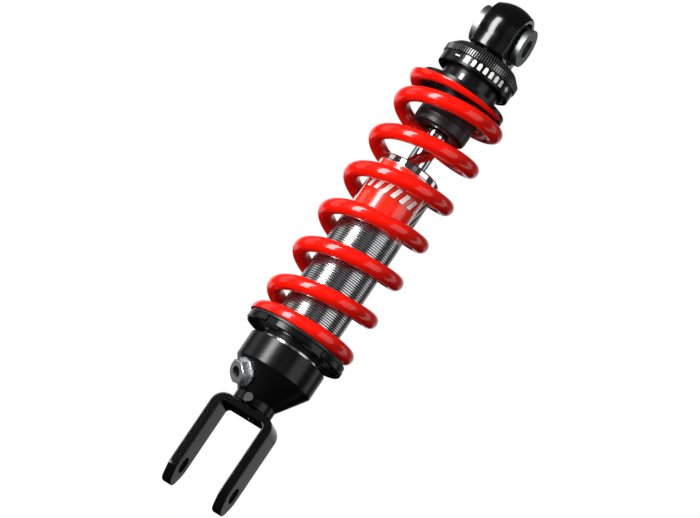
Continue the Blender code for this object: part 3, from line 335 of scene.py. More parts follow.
# ------------------------------------------------------------------------ foot
# The damper's lower cup, turned from aluminium bar in one piece: a neck, a cone and
# a plain rim that the tube screws into. Black anodised over a fine turned surface.
foot_low, foot_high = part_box("lower_foot")
tube_low, tube_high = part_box("damper_tube")
foot_fit = 0.3 * MM
foot_neck = 13.8 * MM
foot_neck_height = 5.4 * MM
foot_cone_height = 19.0 * MM
foot_radius = foot_high.y
socket_radius = tube_high.y + foot_fit
socket_floor = tube_low.z - foot_fit
groove_low = socket_floor + 2.0 * MM
groove_high = groove_low + 2.4 * MM
groove_radius = socket_radius + 2.1 * MM


# Sulphuric black anodising on fine-turned aluminium: deep black with a tight sheen that is
# drawn out round the part. The feed marks are 0.1 mm apart; 0.5 mm is drawn, to show.
anodised_turned = grained(
    finish("black_anodised_turned_aluminium", "#070708", 0.0, 0.25, Specular_IOR_Level=0.35),
    ("#050506", "#0a0a0b"), patch=14 * MM, grain=0.5 * MM, depth=0.0004 * MM,
    roughness=(0.25, 0.28), stretch=(0.06, 0.06, 1))

foot_outline = [
    (0, foot_low.z), (foot_neck, foot_low.z), (foot_neck, foot_low.z + foot_neck_height),
    (foot_radius, foot_low.z + foot_neck_height + foot_cone_height),
    (foot_radius, foot_high.z), (socket_radius, foot_high.z), (socket_radius, groove_high),
    (groove_radius, groove_high), (groove_radius, groove_low), (socket_radius, groove_low),
    (socket_radius, socket_floor), (0, socket_floor)]
foot = piece("turned_foot", turned(eased(foot_outline, 0.5 * MM), 128), anodised_turned)

# The valve sits square to the cone, a third of the way round to the left of the front.
valve_turn = math.radians(-37)
valve_spot_face = 19.2 * MM
valve_spot_depth = 2.2 * MM
valve_hole = 10.6 * MM
valve_hole_depth = 8.3 * MM
cone_run = foot_radius - foot_neck
cone_slant = math.hypot(cone_run, foot_cone_height)
valve_out = Vector((math.sin(valve_turn), -math.cos(valve_turn), 0))
valve_axis = valve_out * (foot_cone_height / cone_slant) - Vector((0, 0, cone_run / cone_slant))
cone_middle = valve_out * ((foot_radius + foot_neck) / 2)
cone_middle.z = foot_low.z + foot_neck_height + foot_cone_height / 2
spot_face = cone_middle - valve_axis * valve_spot_depth
stud_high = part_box("fork_stud")[1]
screw_low, screw_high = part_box("set_screw")
screw_height = (screw_low.z + screw_high.z) / 2
screw_hole = 5.6 * MM
carve(foot,
      drill(valve_spot_face, spot_face, valve_axis, 20 * MM),
      drill(valve_hole, spot_face + valve_axis * MM, -valve_axis, valve_hole_depth + MM),
      drill(fork_stud_hole, (0, 0, foot_low.z - spare), (0, 0, 1),
            stud_high.z + foot_fit - foot_low.z + spare),
      drill(screw_hole, (0, 0, screw_height), (0, -1, 0), foot_neck + spare, 40))
break_edges(foot, 0.15 * MM, steps=2, angle=50)
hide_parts("lower_foot")
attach(foot, "lower")

# -------------------------------------------------------- stud, set screw, seal
# The stud that clamps the fork is blacked steel; a zinc-plated set screw with a
# hexagon socket locks it across the neck. A rubber ring seals the tube in the foot.
screw_radius = 2.5 * MM
screw_chamfer = 0.4 * MM
screw_socket = 2.5 * MM
screw_length = screw_high.y - screw_low.y


def hexagon(flats):
    """Corners of a hexagon, from its width across flats."""
    return [(flats / math.sqrt(3) * math.cos(math.radians(60 * corner)),
             flats / math.sqrt(3) * math.sin(math.radians(60 * corner))) for corner in range(6)]


# Bright zinc plate on steel: a cool silver, a little clouded where the bath left it thin.
# The plate's own grain is far under 0.1 mm; 0.6 mm is drawn, to show.
zinc_plate = grained(
    finish("zinc_plated_steel", "#d2d4d6", 0.88, 0.26),
    ("#c8cacc", "#dadbdc"), patch=3 * MM, grain=0.6 * MM, depth=0.0004 * MM,
    roughness=(0.25, 0.28))

screw_place = aimed((0, screw_high.y, screw_height), (0, -1, 0))
set_screw = piece("socket_set_screw", turned([
    (0, 0), (screw_radius - screw_chamfer, 0), (screw_radius, screw_chamfer),
    (screw_radius, screw_length - screw_chamfer), (screw_radius - screw_chamfer, screw_length),
    (0, screw_length)], 48), zinc_plate, screw_place)
carve(set_screw, piece("key", prism(hexagon(screw_socket), screw_length - screw_socket,
                                    screw_length + MM), None, screw_place))
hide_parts("set_screw")
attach(set_screw, "lower")


def dress(node, skin):
    """Gives a carried-over solid its real finish."""
    made = frame["nodes"][node]
    made.data.materials.clear()
    made.data.materials.append(skin)


# Black oxide on steel: thin and slightly brown-black, with the metal's own sheen.
black_oxide = grained(
    finish("black_oxide_steel", "#1a1918", 0.8, 0.4),
    ("#141313", "#242220"), patch=4 * MM, grain=0.3 * MM, depth=0.005 * MM,
    roughness=(0.32, 0.5))
# Nitrile rubber from a mould: dull, warm black, faintly dusty.
nitrile = grained(
    finish("nitrile_rubber", "#171716", 0.0, 0.6, Specular_IOR_Level=0.4),
    ("#131312", "#1e1d1c"), patch=5 * MM, grain=0.4 * MM, depth=0.01 * MM,
    roughness=(0.5, 0.72))
dress("fork_stud", black_oxide)
dress("foot_o_ring", nitrile)

# ------------------------------------------------------------------- gas valve
# A plated plug with a hexagon and a round flange screws square into the cone over a
# sealing washer. The fill valve's dark core stands at the bottom of its round recess.
washer_thickness = 1.0 * MM
washer_inner = 5.3 * MM
washer_outer = 8.2 * MM
flange_radius = 9.0 * MM
flange_thickness = 1.6 * MM
hex_flats = 14.0 * MM
hex_height = 5.0 * MM
plug_shank = 5.0 * MM
plug_shank_length = 6.4 * MM
recess_radius = 3.7 * MM
recess_depth = 3.0 * MM

washer_seat = spot_face + valve_axis * foot_fit
washer = piece("sealing_washer", turned(eased([
    (washer_inner, washer_thickness / 2), (washer_inner, 0), (washer_outer, 0),
    (washer_outer, washer_thickness), (washer_inner, washer_thickness),
    (washer_inner, washer_thickness / 2)], 0.2 * MM), 64), zinc_plate,
    aimed(washer_seat, valve_axis))
plug_seat = washer_seat + valve_axis * (washer_thickness + foot_fit)
plug_place = aimed(plug_seat, valve_axis)
plug_top = flange_thickness + hex_height
plug = piece("valve_plug_body", turned(eased([
    (0, -plug_shank_length), (plug_shank, -plug_shank_length), (plug_shank, 0),
    (flange_radius, 0), (flange_radius, flange_thickness), (hex_flats / 2, flange_thickness),
    (0, flange_thickness)], 0.45 * MM), 96), zinc_plate, plug_place)
head = piece("hexagon", prism(hexagon(hex_flats), flange_thickness - 0.5 * MM, plug_top), None,
             plug_place)
head_trim = piece("trim", turned([
    (0, 0), (hex_flats * 0.64, 0), (hex_flats * 0.64, plug_top - 1.5 * MM),
    (hex_flats * 0.48, plug_top), (0, plug_top)], 96), None, plug_place)
carve(head, head_trim, operation="INTERSECT")
carve(plug, head, operation="UNION")
carve(plug, drill(2 * recess_radius, plug_seat + valve_axis * (plug_top - recess_depth),
                  valve_axis, recess_depth + MM, 48),
      drill(2.0 * MM, plug_seat - valve_axis * (plug_shank_length + MM), valve_axis,
            plug_shank_length + plug_top, 24))
break_edges(plug, 0.2 * MM, steps=2, angle=25)
core_radius = recess_radius - foot_fit
core_height = 1.8 * MM
core = piece("valve_core_disc", turned(eased([
    (0, 0), (core_radius, 0), (core_radius, core_height), (core_radius * 0.62, core_height),
    (core_radius * 0.55, core_height - 0.5 * MM), (core_radius * 0.3, core_height - 0.5 * MM),
    (core_radius * 0.25, core_height + 0.3 * MM), (0, core_height + 0.3 * MM)], 0.12 * MM), 48),
    black_oxide, aimed(plug_seat + valve_axis * (plug_top - recess_depth + foot_fit), valve_axis))
for part, node, slot in ((washer, "valve_washer", "plated_steel"),
                         (plug, "valve_plug", "plated_steel"),
                         (core, "valve_core", "satin_black_aluminium")):
    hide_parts(node)
    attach(part, "lower")

# ----------------------------------------------------------------- damper tube
# Drawn aluminium tube, threaded outside over its lower stretch for the preload ring
# and left plain above for the label. Clear anodised, so it stays bright silver.
thread_pitch = 1.5 * MM
thread_depth = 0.9 * MM
thread_length = 92.0 * MM
thread_relief = 0.25 * MM
tube_bore = 18.0 * MM
tube_radius = tube_high.y
tube_sides = 128
thread_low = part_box("preload_ring")[0].z
thread_high = foot_high.z + thread_length
land_high = foot_high.z + 2.2 * MM


def threaded_tube():
    """Tube whose thread is a true helix: four rows of points to each pitch."""
    mesh = bmesh.new()
    root = tube_radius - thread_depth
    plain = tube_radius - thread_relief
    profile = ((0.0, root), (0.14, root), (0.32, tube_radius), (0.84, tube_radius))
    pitches = math.ceil((thread_high - thread_low) / thread_pitch) + 1
    rows = [(thread_low + (turn - 1 + share) * thread_pitch, radius)
            for turn in range(pitches + 1) for share, radius in profile]

    def ring(radius, height):
        return [mesh.verts.new((radius * math.cos(math.tau * side / tube_sides),
                                radius * math.sin(math.tau * side / tube_sides), height))
                for side in range(tube_sides)]

    def join(one, two):
        for side in range(tube_sides):
            after = (side + 1) % tube_sides
            mesh.faces.new((one[side], one[after], two[after], two[side]))

    grid = []
    for level, radius in rows:
        points = []
        for side in range(tube_sides):
            turn = math.tau * side / tube_sides
            height = level + thread_pitch * side / tube_sides
            inside = thread_low < height < thread_high
            reach = radius if inside else root
            height = min(max(height, thread_low), thread_high)
            points.append(mesh.verts.new((reach * math.cos(turn), reach * math.sin(turn), height)))
        grid.append(points)
    last = len(grid) - 1
    for row in range(last):
        for side in range(tube_sides - 1):
            mesh.faces.new((grid[row][side], grid[row][side + 1],
                            grid[row + 1][side + 1], grid[row + 1][side]))
        one, two = min(row + 4, last), min(row + 5, last)
        if one != two:
            mesh.faces.new((grid[row][-1], grid[one][0], grid[two][0], grid[row + 1][-1]))
        else:
            mesh.faces.new((grid[row][-1], grid[last][0], grid[row + 1][-1]))
    for row in range(4):
        corners = (grid[0][-1], grid[row][0], grid[row + 1][0])
        mesh.faces.new(corners)
    bottom_in, bottom_out = ring(tube_bore, tube_low.z), ring(plain, tube_low.z)
    land, groove = ring(plain, land_high), ring(root, land_high + 0.3 * MM)
    foot_end, relief = ring(root, thread_low), ring(root, thread_high)
    neck, shoulder = ring(plain, thread_high + 0.4 * MM), ring(plain, tube_high.z - 0.3 * MM)
    top_out, top_in = ring(plain - 0.3 * MM, tube_high.z), ring(tube_bore, tube_high.z)
    join(bottom_in, bottom_out)
    join(bottom_out, land)
    join(land, groove)
    join(groove, foot_end)
    join(relief, neck)
    join(neck, shoulder)
    join(shoulder, top_out)
    join(top_out, top_in)
    join(top_in, bottom_in)
    return mesh


# Clear anodised aluminium: bright, cool silver with fine marks drawn round the tube.
# The tool marks are 0.05 mm apart; 0.3 mm is drawn, to show.
clear_anodised = grained(
    finish("clear_anodised_aluminium", "#c9cacc", 1.0, 0.2),
    ("#bfc0c3", "#d3d4d5"), patch=11 * MM, grain=0.3 * MM, depth=0.001 * MM,
    roughness=(0.17, 0.26), stretch=(0.05, 0.05, 1))
# The thread's roots are painted nearly black: painted shade for the shadow deep in the thread's grooves.
root_painted_shade = grained(
    finish("thread_root_painted_shade", "#161615", 0.6, 0.4),
    ("#0e0e0d", "#22211f"), patch=6 * MM, grain=0.5 * MM, depth=0.002 * MM,
    roughness=(0.3, 0.5))
tube = piece("threaded_tube", threaded_tube(), clear_anodised)
tube.data.materials.append(root_painted_shade)
# Faces deep in the thread's grooves get the painted shade.
for face in tube.data.polygons:
    out = math.hypot(face.center.x, face.center.y)
    threaded = land_high < face.center.z < thread_high
    if threaded and out < tube_radius - 0.6 * thread_depth and out > tube_bore + MM:
        face.material_index = 1
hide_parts("damper_tube")
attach(tube, "lower")

# ----------------------------------------------------------------- tube labels
# Two printed films stuck round the plain stretch of the tube: a wide orange-red one
# with a pale border and plain slanting dashes, and a narrow pale one with dark bars.
label_gap = 0.03 * MM
label_thickness = 0.1 * MM
label_low = thread_high + 1.2 * MM
label_high = tube_high.z - 1.0 * MM


def film(name, start, end, low, high, skin, radius, thickness=label_thickness):
    """Thin closed patch round the Z axis, between two angles in degrees from the front.

    Its UV map holds millimetres round the patch and up it, from its lower left corner.
    """
    mesh = bmesh.new()
    uv = mesh.loops.layers.uv.new("millimetres")
    steps = max(2, round(abs(end - start) / 2))
    sheets = []
    for reach in (radius, radius + thickness):
        rows = []
        for height in (low, high):
            turns = [math.radians(start + (end - start) * step / steps) for step in range(steps + 1)]
            rows.append([mesh.verts.new((reach * math.sin(turn), -reach * math.cos(turn), height))
                         for turn in turns])
        sheets.append(rows)
    inner, outer = sheets
    for step in range(steps):
        quads = [(outer[0][step], outer[0][step + 1], outer[1][step + 1], outer[1][step]),
                 (inner[0][step + 1], inner[0][step], inner[1][step], inner[1][step + 1]),
                 (inner[0][step], inner[0][step + 1], outer[0][step + 1], outer[0][step]),
                 (outer[1][step], outer[1][step + 1], inner[1][step + 1], inner[1][step])]
        for corners in quads:
            mesh.faces.new(corners)
    mesh.faces.new((inner[0][0], outer[0][0], outer[1][0], inner[1][0]))
    mesh.faces.new((outer[0][-1], inner[0][-1], inner[1][-1], outer[1][-1]))
    for face in mesh.faces:
        for loop in face.loops:
            turn = math.degrees(math.atan2(loop.vert.co.x, -loop.vert.co.y))
            along = math.radians(turn - start) * radius / MM
            loop[uv].uv = (along, (loop.vert.co.z - low) / MM)
    return piece(name, mesh, skin)


def printed(made, ground, ink, edge, cells):
    """Adds a print to a material: ink shapes with a thin edge over a ground colour.

    Cells is (pitch along, share inked, slant, lowest, highest) in the film's millimetres.
    """
    pitch, share, slant, lowest, highest = cells
    shader = made.node_tree.nodes["Principled BSDF"]
    place = add_node(made, "UVMap", uv_map="millimetres").outputs["UV"]
    split = add_node(made, "SeparateXYZ", {"Vector": place})
    lean = add_node(made, "Math", {0: split.outputs["Y"], 1: -slant, 2: split.outputs["X"]},
                    operation="MULTIPLY_ADD")
    phase = add_node(made, "Math", {0: lean.outputs[0], 1: 1 / pitch}, operation="MULTIPLY")
    wrapped = add_node(made, "Math", {0: phase.outputs[0]}, operation="FRACT")
    from_middle = add_node(made, "Math", {0: wrapped.outputs[0], 1: 0.5}, operation="SUBTRACT")
    aside = add_node(made, "Math", {0: from_middle.outputs[0]}, operation="ABSOLUTE")
    over = add_node(made, "Math", {0: split.outputs["Y"], 1: (lowest + highest) / 2},
                    operation="SUBTRACT")
    away = add_node(made, "Math", {0: over.outputs[0]}, operation="ABSOLUTE")
    colour = None
    for tone, grow in ((edge, 0.5), (ink, 0.0)):
        wide = add_node(made, "Math", {0: aside.outputs[0], 1: share / 2 + grow / pitch},
                        operation="LESS_THAN")
        tall = add_node(made, "Math", {0: away.outputs[0], 1: (highest - lowest) / 2 + grow},
                        operation="LESS_THAN")
        both = add_node(made, "Math", {0: wide.outputs[0], 1: tall.outputs[0]},
                        operation="MULTIPLY")
        layer = add_node(made, "Mix", {"Factor": both.outputs[0]}, data_type="RGBA")
        if colour is None:
            layer.inputs["A"].default_value = linear(ground)
        else:
            made.node_tree.links.new(colour, layer.inputs["A"])
        layer.inputs["B"].default_value = linear(tone)
        colour = layer.outputs["Result"]
    fleck = add_node(made, "TexNoise", {"Vector": place, "Scale": 1.6, "Detail": 2.0})
    gloss = add_node(made, "MapRange", {"Value": fleck.outputs["Fac"], "To Min": 0.16,
                                        "To Max": 0.3})
    made.node_tree.links.new(colour, shader.inputs["Base Color"])
    made.node_tree.links.new(gloss.outputs["Result"], shader.inputs["Roughness"])
    return made


# Printed vinyl film under a clear laminate: flat, saturated ink with a wet gloss over it.
red_film = printed(finish("printed_vinyl_red", "#ee2410", 0.0, 0.22, Coat_Weight=0.6,
                          Coat_Roughness=0.06),
                   "#ef2610", "#f6f2ee", "#1a1412", (6.4, 0.52, 0.35, 20.5, 27.5))
pale_film = printed(finish("printed_vinyl_pale", "#d9d9d6", 0.0, 0.25, Coat_Weight=0.6,
                           Coat_Roughness=0.06),
                    "#dcdcd8", "#161616", "#dcdcd8", (4.2, 0.55, 0.45, 3.0, 38.0))
border_film = grained(
    finish("printed_vinyl_border", "#f2f0ec", 0.0, 0.25, Coat_Weight=0.6, Coat_Roughness=0.06),
    ("#ecebe6", "#f8f6f2"), patch=6 * MM, grain=0.6 * MM, depth=0.002 * MM,
    roughness=(0.2, 0.3))
label_radius = tube_radius - thread_relief + label_gap
labels = [film("label_red", -51, 66, label_low, label_high, red_film, label_radius),
          film("label_border_left", -55, -51.3, label_low, label_high, border_film, label_radius),
          film("label_border_right", 66.3, 71, label_low, label_high, border_film, label_radius),
          film("label_notice", 74, 112, label_low, label_high, pale_film, label_radius)]
for label in labels:
    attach(label, "lower")

# ------------------------------------------------------------ free piston, head
# Inside the tube a free piston parts oil from gas. The tube's top is closed by the
# seal head, a turned plug that guides the rod and shows as a bright chromed band.
head_low, head_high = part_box("seal_head")
head_inset = 1.0 * MM
head_flange = 4.2 * MM
head_wiper_pocket = 11.0 * MM
head_pocket_depth = 3.2 * MM
head_skirt = 17.7 * MM
head_bush_bore = 9.4 * MM
head_rod_bore = 7.7 * MM
wiper_low, wiper_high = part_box("rod_wiper")

# Decorative chrome over polished steel: near mirror, with faint rings left by the polishing
# wheel. The rings are some 0.02 mm apart; 0.4 mm is drawn, to show.
bright_chrome = grained(
    finish("polished_chrome", "#dfe1e3", 1.0, 0.06),
    ("#d8dadd", "#e6e7e8"), patch=8 * MM, grain=0.4 * MM, depth=0.0005 * MM,
    roughness=(0.04, 0.09), stretch=(0.08, 0.08, 1))
flange_low = head_high.z - head_flange
head_radius = head_high.y
pocket_low = head_high.z - head_pocket_depth
seal_head = piece("chromed_seal_head", turned(eased([
    (head_bush_bore, head_low.z + 5 * MM), (head_bush_bore, head_low.z), (head_skirt, head_low.z),
    (head_skirt, flange_low), (head_radius, flange_low), (head_radius, head_high.z - head_inset),
    (head_radius - head_inset, head_high.z), (head_wiper_pocket, head_high.z),
    (head_wiper_pocket, pocket_low), (head_rod_bore, pocket_low),
    (head_rod_bore, head_low.z + 12 * MM), (head_bush_bore, head_low.z + 12 * MM),
    (head_bush_bore, head_low.z + 5 * MM)], 0.25 * MM), 128), bright_chrome)
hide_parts("seal_head")
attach(seal_head, "lower")

wiper_lip = 7.3 * MM
wiper = piece("rod_wiper_lip", turned(eased([
    (wiper_lip, (wiper_low.z + wiper_high.z) / 2), (wiper_lip, wiper_low.z),
    (wiper_high.y, wiper_low.z), (wiper_high.y, wiper_high.z - 0.6 * MM),
    (wiper_high.y - 1.2 * MM, wiper_high.z - 0.6 * MM),
    (wiper_high.y - 1.8 * MM, wiper_high.z - 1.1 * MM), (wiper_lip + 0.7 * MM, wiper_high.z),
    (wiper_lip, wiper_high.z), (wiper_lip, (wiper_low.z + wiper_high.z) / 2)], 0.2 * MM), 96),
    nitrile)
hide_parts("rod_wiper")
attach(wiper, "lower")

# Oil-soaked sintered bronze: warm and matt, with open pores 0.1 mm across, drawn at 0.5 mm.
bronze = grained(
    finish("sintered_bronze", "#9a6f3c", 1.0, 0.45),
    ("#8b6334", "#ad8049"), patch=3 * MM, grain=0.5 * MM, depth=0.03 * MM,
    roughness=(0.38, 0.6))
# Bronze-filled PTFE: a brown, waxy tape, dull where it has rubbed.
filled_ptfe = grained(
    finish("bronze_filled_ptfe", "#5a4128", 0.0, 0.45),
    ("#4f3822", "#6a4e32"), patch=4 * MM, grain=0.3 * MM, depth=0.004 * MM,
    roughness=(0.38, 0.52))
# Ground bearing steel: grey and very smooth, faint cross grain.
ground_steel = grained(
    finish("ground_bearing_steel", "#9ea1a6", 1.0, 0.14),
    ("#94979c", "#abaeb2"), patch=5 * MM, grain=0.2 * MM, depth=0.002 * MM,
    roughness=(0.1, 0.2))
for node, skin in (("floating_piston", clear_anodised), ("floating_piston_ring", nitrile),
                   ("head_o_ring", nitrile), ("rod_guide_bush", bronze), ("rod_seal", nitrile),
                   ("top_out_rubber", nitrile), ("top_out_plate", zinc_plate),
                   ("compression_shims", ground_steel), ("rebound_shims", ground_steel),
                   ("piston", clear_anodised), ("piston_band", filled_ptfe),
                   ("piston_nut", zinc_plate), ("rebound_needle", ground_steel),
                   ("cam_pin", ground_steel), ("detent_ball", ground_steel),
                   ("detent_spring", zinc_plate)):
    dress(node, skin)

# ------------------------------------------------------------------ piston rod
# The damper's shaft: hardened steel, hard chromed and polished, so that it mirrors
# the room in narrow upright bands. It steps down inside to carry the piston.
rod_low, rod_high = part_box("piston_rod")
rod_radius = 7.0 * MM
rod_shank = 5.0 * MM
rod_thread = 6.0 * MM
rod_bore = 2.2 * MM
rod_bleed = 1.0 * MM
plate_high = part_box("top_out_plate")[1]
seat_low, seat_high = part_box("upper_spring_seat")
rod_shoulder = plate_high.z + foot_fit
hard_chrome = grained(
    finish("hard_chromed_steel", "#d4d7dc", 1.0, 0.05),
    ("#cdd0d6", "#dadde1"), patch=12 * MM, grain=0.5 * MM, depth=0.0003 * MM,
    roughness=(0.03, 0.07), stretch=(1, 1, 0.06))
rod = piece("chromed_rod", turned([
    (rod_bleed, rod_low.z), (rod_shank - 0.3 * MM, rod_low.z), (rod_shank, rod_low.z + 0.3 * MM),
    (rod_shank, rod_shoulder), (rod_radius - 0.4 * MM, rod_shoulder),
    (rod_radius, rod_shoulder + 0.4 * MM), (rod_radius, seat_high.z - 0.3 * MM),
    (rod_radius - 0.3 * MM, seat_high.z), (rod_thread, seat_high.z), (rod_thread, rod_high.z),
    (rod_bore, rod_high.z), (rod_bore, rod_low.z + 9 * MM), (rod_bleed, rod_low.z + 6 * MM)], 96),
    hard_chrome)
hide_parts("piston_rod")
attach(rod, "rod")

# -------------------------------------------------- preload ring, thrust washer
# The ring screws up the tube's thread to load the spring, turned with a hook spanner in
# its six milled slots. Black anodised aluminium, with an acetal washer on top of it.
ring_low, ring_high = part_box("preload_ring")
preload_radius = 34.2 * MM
preload_slot_width = 8.3 * MM
preload_slot_depth = 2.0 * MM
preload_slots = 6
first_slot = math.radians(-109)
preload_chamfer = 0.8 * MM
ring = piece("slotted_preload_ring", turned([
    (socket_radius, ring_low.z), (preload_radius - preload_chamfer, ring_low.z),
    (preload_radius, ring_low.z + preload_chamfer), (preload_radius, ring_high.z - 0.3 * MM),
    (preload_radius - 0.3 * MM, ring_high.z), (socket_radius, ring_high.z)], 144),
    anodised_turned)
for index in range(preload_slots):
    turn = first_slot + math.tau * index / preload_slots
    half = preload_slot_width / 2
    reach = preload_radius - preload_slot_depth
    outline = [(reach, -half), (preload_radius + spare, -half), (preload_radius + spare, half),
               (reach, half)]
    tool = piece("slot", prism(outline, ring_low.z - spare, ring_high.z + spare), None,
                 Matrix.Rotation(turn, 4, "Z"))
    carve(ring, tool)
break_edges(ring, 0.35 * MM, steps=2, angle=30)
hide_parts("preload_ring")
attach(ring, "preload")

# Black acetal: a slick, faintly waxy plastic, satin from the saw and the lathe.
acetal = grained(
    finish("black_acetal", "#151516", 0.0, 0.38),
    ("#111112", "#1b1b1c"), patch=7 * MM, grain=0.3 * MM, depth=0.004 * MM,
    roughness=(0.32, 0.45), stretch=(0.1, 0.1, 1))
thrust_low, thrust_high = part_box("thrust_washer")
thrust_bore = socket_radius + 0.5 * MM
thrust_radius = 33.7 * MM
thrust = piece("slip_washer", turned(eased([
    (thrust_bore, (thrust_low.z + thrust_high.z) / 2), (thrust_bore, thrust_low.z),
    (thrust_radius, thrust_low.z), (thrust_radius, thrust_high.z), (thrust_bore, thrust_high.z),
    (thrust_bore, (thrust_low.z + thrust_high.z) / 2)], 0.3 * MM), 128), acetal)
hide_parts("thrust_washer")
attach(thrust, "preload_carriage")

# ----------------------------------------------------------------- main spring
# Cold-wound chrome-silicon wire with closed ends ground flat, shot peened and powder
# coated in a bright gloss red that flows out smooth and pools into soft waves.
spring_low, spring_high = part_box("main_spring")
spring_mean = 30.2 * MM
spring_wire = 5.1 * MM
spring_turns = 7.85
spring_end_pitch = 11.0 * MM
spring_end_turns = 0.8
spring_blend_turns = 0.4
spring_tip = 1.2 * MM
spring_top_angle = math.radians(-17)
spring_length = spring_high.z - spring_low.z


def coil_drop(turns):
    """How far the wire's centre has come down after some turns from the top end."""
    rise_after_end = spring_end_turns + spring_blend_turns
    travel = spring_length + 2 * spring_wire - 2 * spring_tip
    active_turns = spring_turns - 2 * rise_after_end + spring_blend_turns
    end_travel = spring_end_pitch * (2 * spring_end_turns + spring_blend_turns)
    pitch = (travel - end_travel) / active_turns
    if turns > spring_turns / 2:
        return travel - coil_drop(spring_turns - turns)
    if turns <= spring_end_turns:
        return turns * spring_end_pitch
    part = min((turns - spring_end_turns) / spring_blend_turns, 1.0)
    eased_part = part ** 3 - part ** 4 / 2
    drop = spring_end_turns * spring_end_pitch
    drop += spring_blend_turns * (spring_end_pitch * part + (pitch - spring_end_pitch) * eased_part)
    return drop + max(turns - rise_after_end, 0.0) * pitch


def wound_spring(steps_per_turn=60, wire_sides=28):
    """The coil, with each section's share of the travel kept on its points."""
    mesh = bmesh.new()
    share = mesh.verts.layers.float.new("travel_share")
    start = spring_high.z + spring_wire - spring_tip
    count = round(spring_turns * steps_per_turn)
    rings = []
    for step in range(count + 1):
        turns = spring_turns * step / count
        angle = spring_top_angle - math.tau * turns
        outward = Vector((math.cos(angle), math.sin(angle), 0))
        centre = outward * spring_mean + Vector((0, 0, start - coil_drop(turns)))
        level = (centre.z - spring_low.z - spring_wire) / (spring_length - 2 * spring_wire)
        points = []
        for side in range(wire_sides):
            turn = math.tau * side / wire_sides
            point = mesh.verts.new(centre + outward * (spring_wire * math.cos(turn))
                                   + Vector((0, 0, spring_wire * math.sin(turn))))
            point[share] = level
            points.append(point)
        rings.append(points)
    for one, two in zip(rings, rings[1:]):
        for side in range(wire_sides):
            after = (side + 1) % wire_sides
            mesh.faces.new((one[side], one[after], two[after], two[side]))
    mesh.faces.new(rings[0])
    mesh.faces.new(rings[-1])
    for level, up in ((spring_high.z, 1), (spring_low.z, -1)):
        everything = mesh.verts[:] + mesh.edges[:] + mesh.faces[:]
        bmesh.ops.bisect_plane(mesh, geom=everything, plane_co=(0, 0, level),
                               plane_no=(0, 0, up), clear_outer=True)
        rim = [edge for edge in mesh.edges if edge.is_boundary]
        bmesh.ops.holes_fill(mesh, edges=rim)
    return mesh


# Polyester powder coat, high gloss: saturated red under its own clear surface. It levels
# into an orange peel 1.5 mm across and a few micrometres deep; 2.5 mm is drawn, to show.
red_powder = grained(
    finish("red_powder_coat", "#ee1304", 0.0, 0.3, Specular_IOR_Level=0.15, Coat_Weight=0.75,
           Coat_Roughness=0.03),
    ("#ea1103", "#f21505"), patch=20 * MM, grain=2.5 * MM, depth=0.004 * MM,
    roughness=(0.26, 0.36))
spring = piece("red_coil_spring", wound_spring(), red_powder)
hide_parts("main_spring")
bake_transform(spring, "lower", "rod", start=(0, 0, spring_low.z), end=(0, 0, spring_high.z))

# Each section of the wire moves as a whole, by its share of the travel. The flat ends
# stay on their seats, and the preload ring's carriage lifts the foot by what is left.
shares = [0.0] * len(spring.data.vertices)
spring.data.attributes["travel_share"].data.foreach_get("value", shares)
shares = [min(max(share, 0.0), 1.0) for share in shares]
spring.data.attributes["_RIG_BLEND"].data.foreach_set("value", shares)
spring.data.attributes.remove(spring.data.attributes["travel_share"])
lift = spring.vertex_groups.new(name="lift")
for index, share in enumerate(shares):
    lift.add([index], 1.0 - share, "REPLACE")
carriage = spring.modifiers.new("preload_lift", "HOOK")
carriage.object = frame["bodies"]["preload_carriage"]
carriage.vertex_group = "lift"
carriage.matrix_inverse = frame["bodies"]["preload_carriage"].matrix_world.inverted()

# ---------------------------------------------------- upper seat and bump stop
# The spring's upper seat is a black anodised disc with a spigot inside the coil. The
# bump stop under it is foamed urethane, skinned by its mould, with a ridge left round it.
spigot_radius = 24.6 * MM
bump_low, bump_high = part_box("bump_stop")
bump_radius = 18.6 * MM
bump_bore = 7.3 * MM
seat_pocket = bump_radius + foot_fit
seat_radius = 29.8 * MM
seat = piece("upper_seat_disc", turned(eased([
    (bump_bore, (seat_high.z + bump_high.z) / 2), (bump_bore, bump_high.z + foot_fit),
    (seat_pocket, bump_high.z + foot_fit), (seat_pocket, seat_low.z), (spigot_radius, seat_low.z),
    (spigot_radius, bump_high.z + foot_fit), (seat_radius, bump_high.z + foot_fit),
    (seat_radius, seat_high.z), (bump_bore, seat_high.z),
    (bump_bore, (seat_high.z + bump_high.z) / 2)], 0.6 * MM), 144), anodised_turned)
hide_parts("upper_spring_seat")
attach(seat, "rod")

# Microcellular urethane with a moulded skin: soft black, matt, with fine open pits.
urethane = grained(
    finish("moulded_urethane_foam", "#0b0b0b", 0.0, 0.45),
    ("#080808", "#121212"), patch=8 * MM, grain=1.2 * MM, depth=0.06 * MM,
    roughness=(0.3, 0.5))
ridge = 0.5 * MM
ridge_height = bump_low.z + 7 * MM
bump = piece("moulded_bump_stop", turned(eased([
    (bump_bore, (bump_low.z + bump_high.z) / 2), (bump_bore, bump_low.z + 2.5 * MM),
    (bump_bore + 3.0 * MM, bump_low.z + 0.4 * MM), (bump_radius - 4.0 * MM, bump_low.z),
    (bump_radius - 0.8 * MM, bump_low.z + 0.8 * MM), (bump_radius - 0.2 * MM, bump_low.z + 3 * MM),
    (bump_radius - 0.2 * MM, ridge_height - 1.2 * MM), (bump_radius, ridge_height),
    (bump_radius - 0.2 * MM, ridge_height + 1.2 * MM), (bump_radius - 0.1 * MM, bump_high.z),
    (bump_bore, bump_high.z), (bump_bore, (bump_low.z + bump_high.z) / 2)], ridge), 96), urethane)
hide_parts("bump_stop")
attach(bump, "rod")
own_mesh(bump)

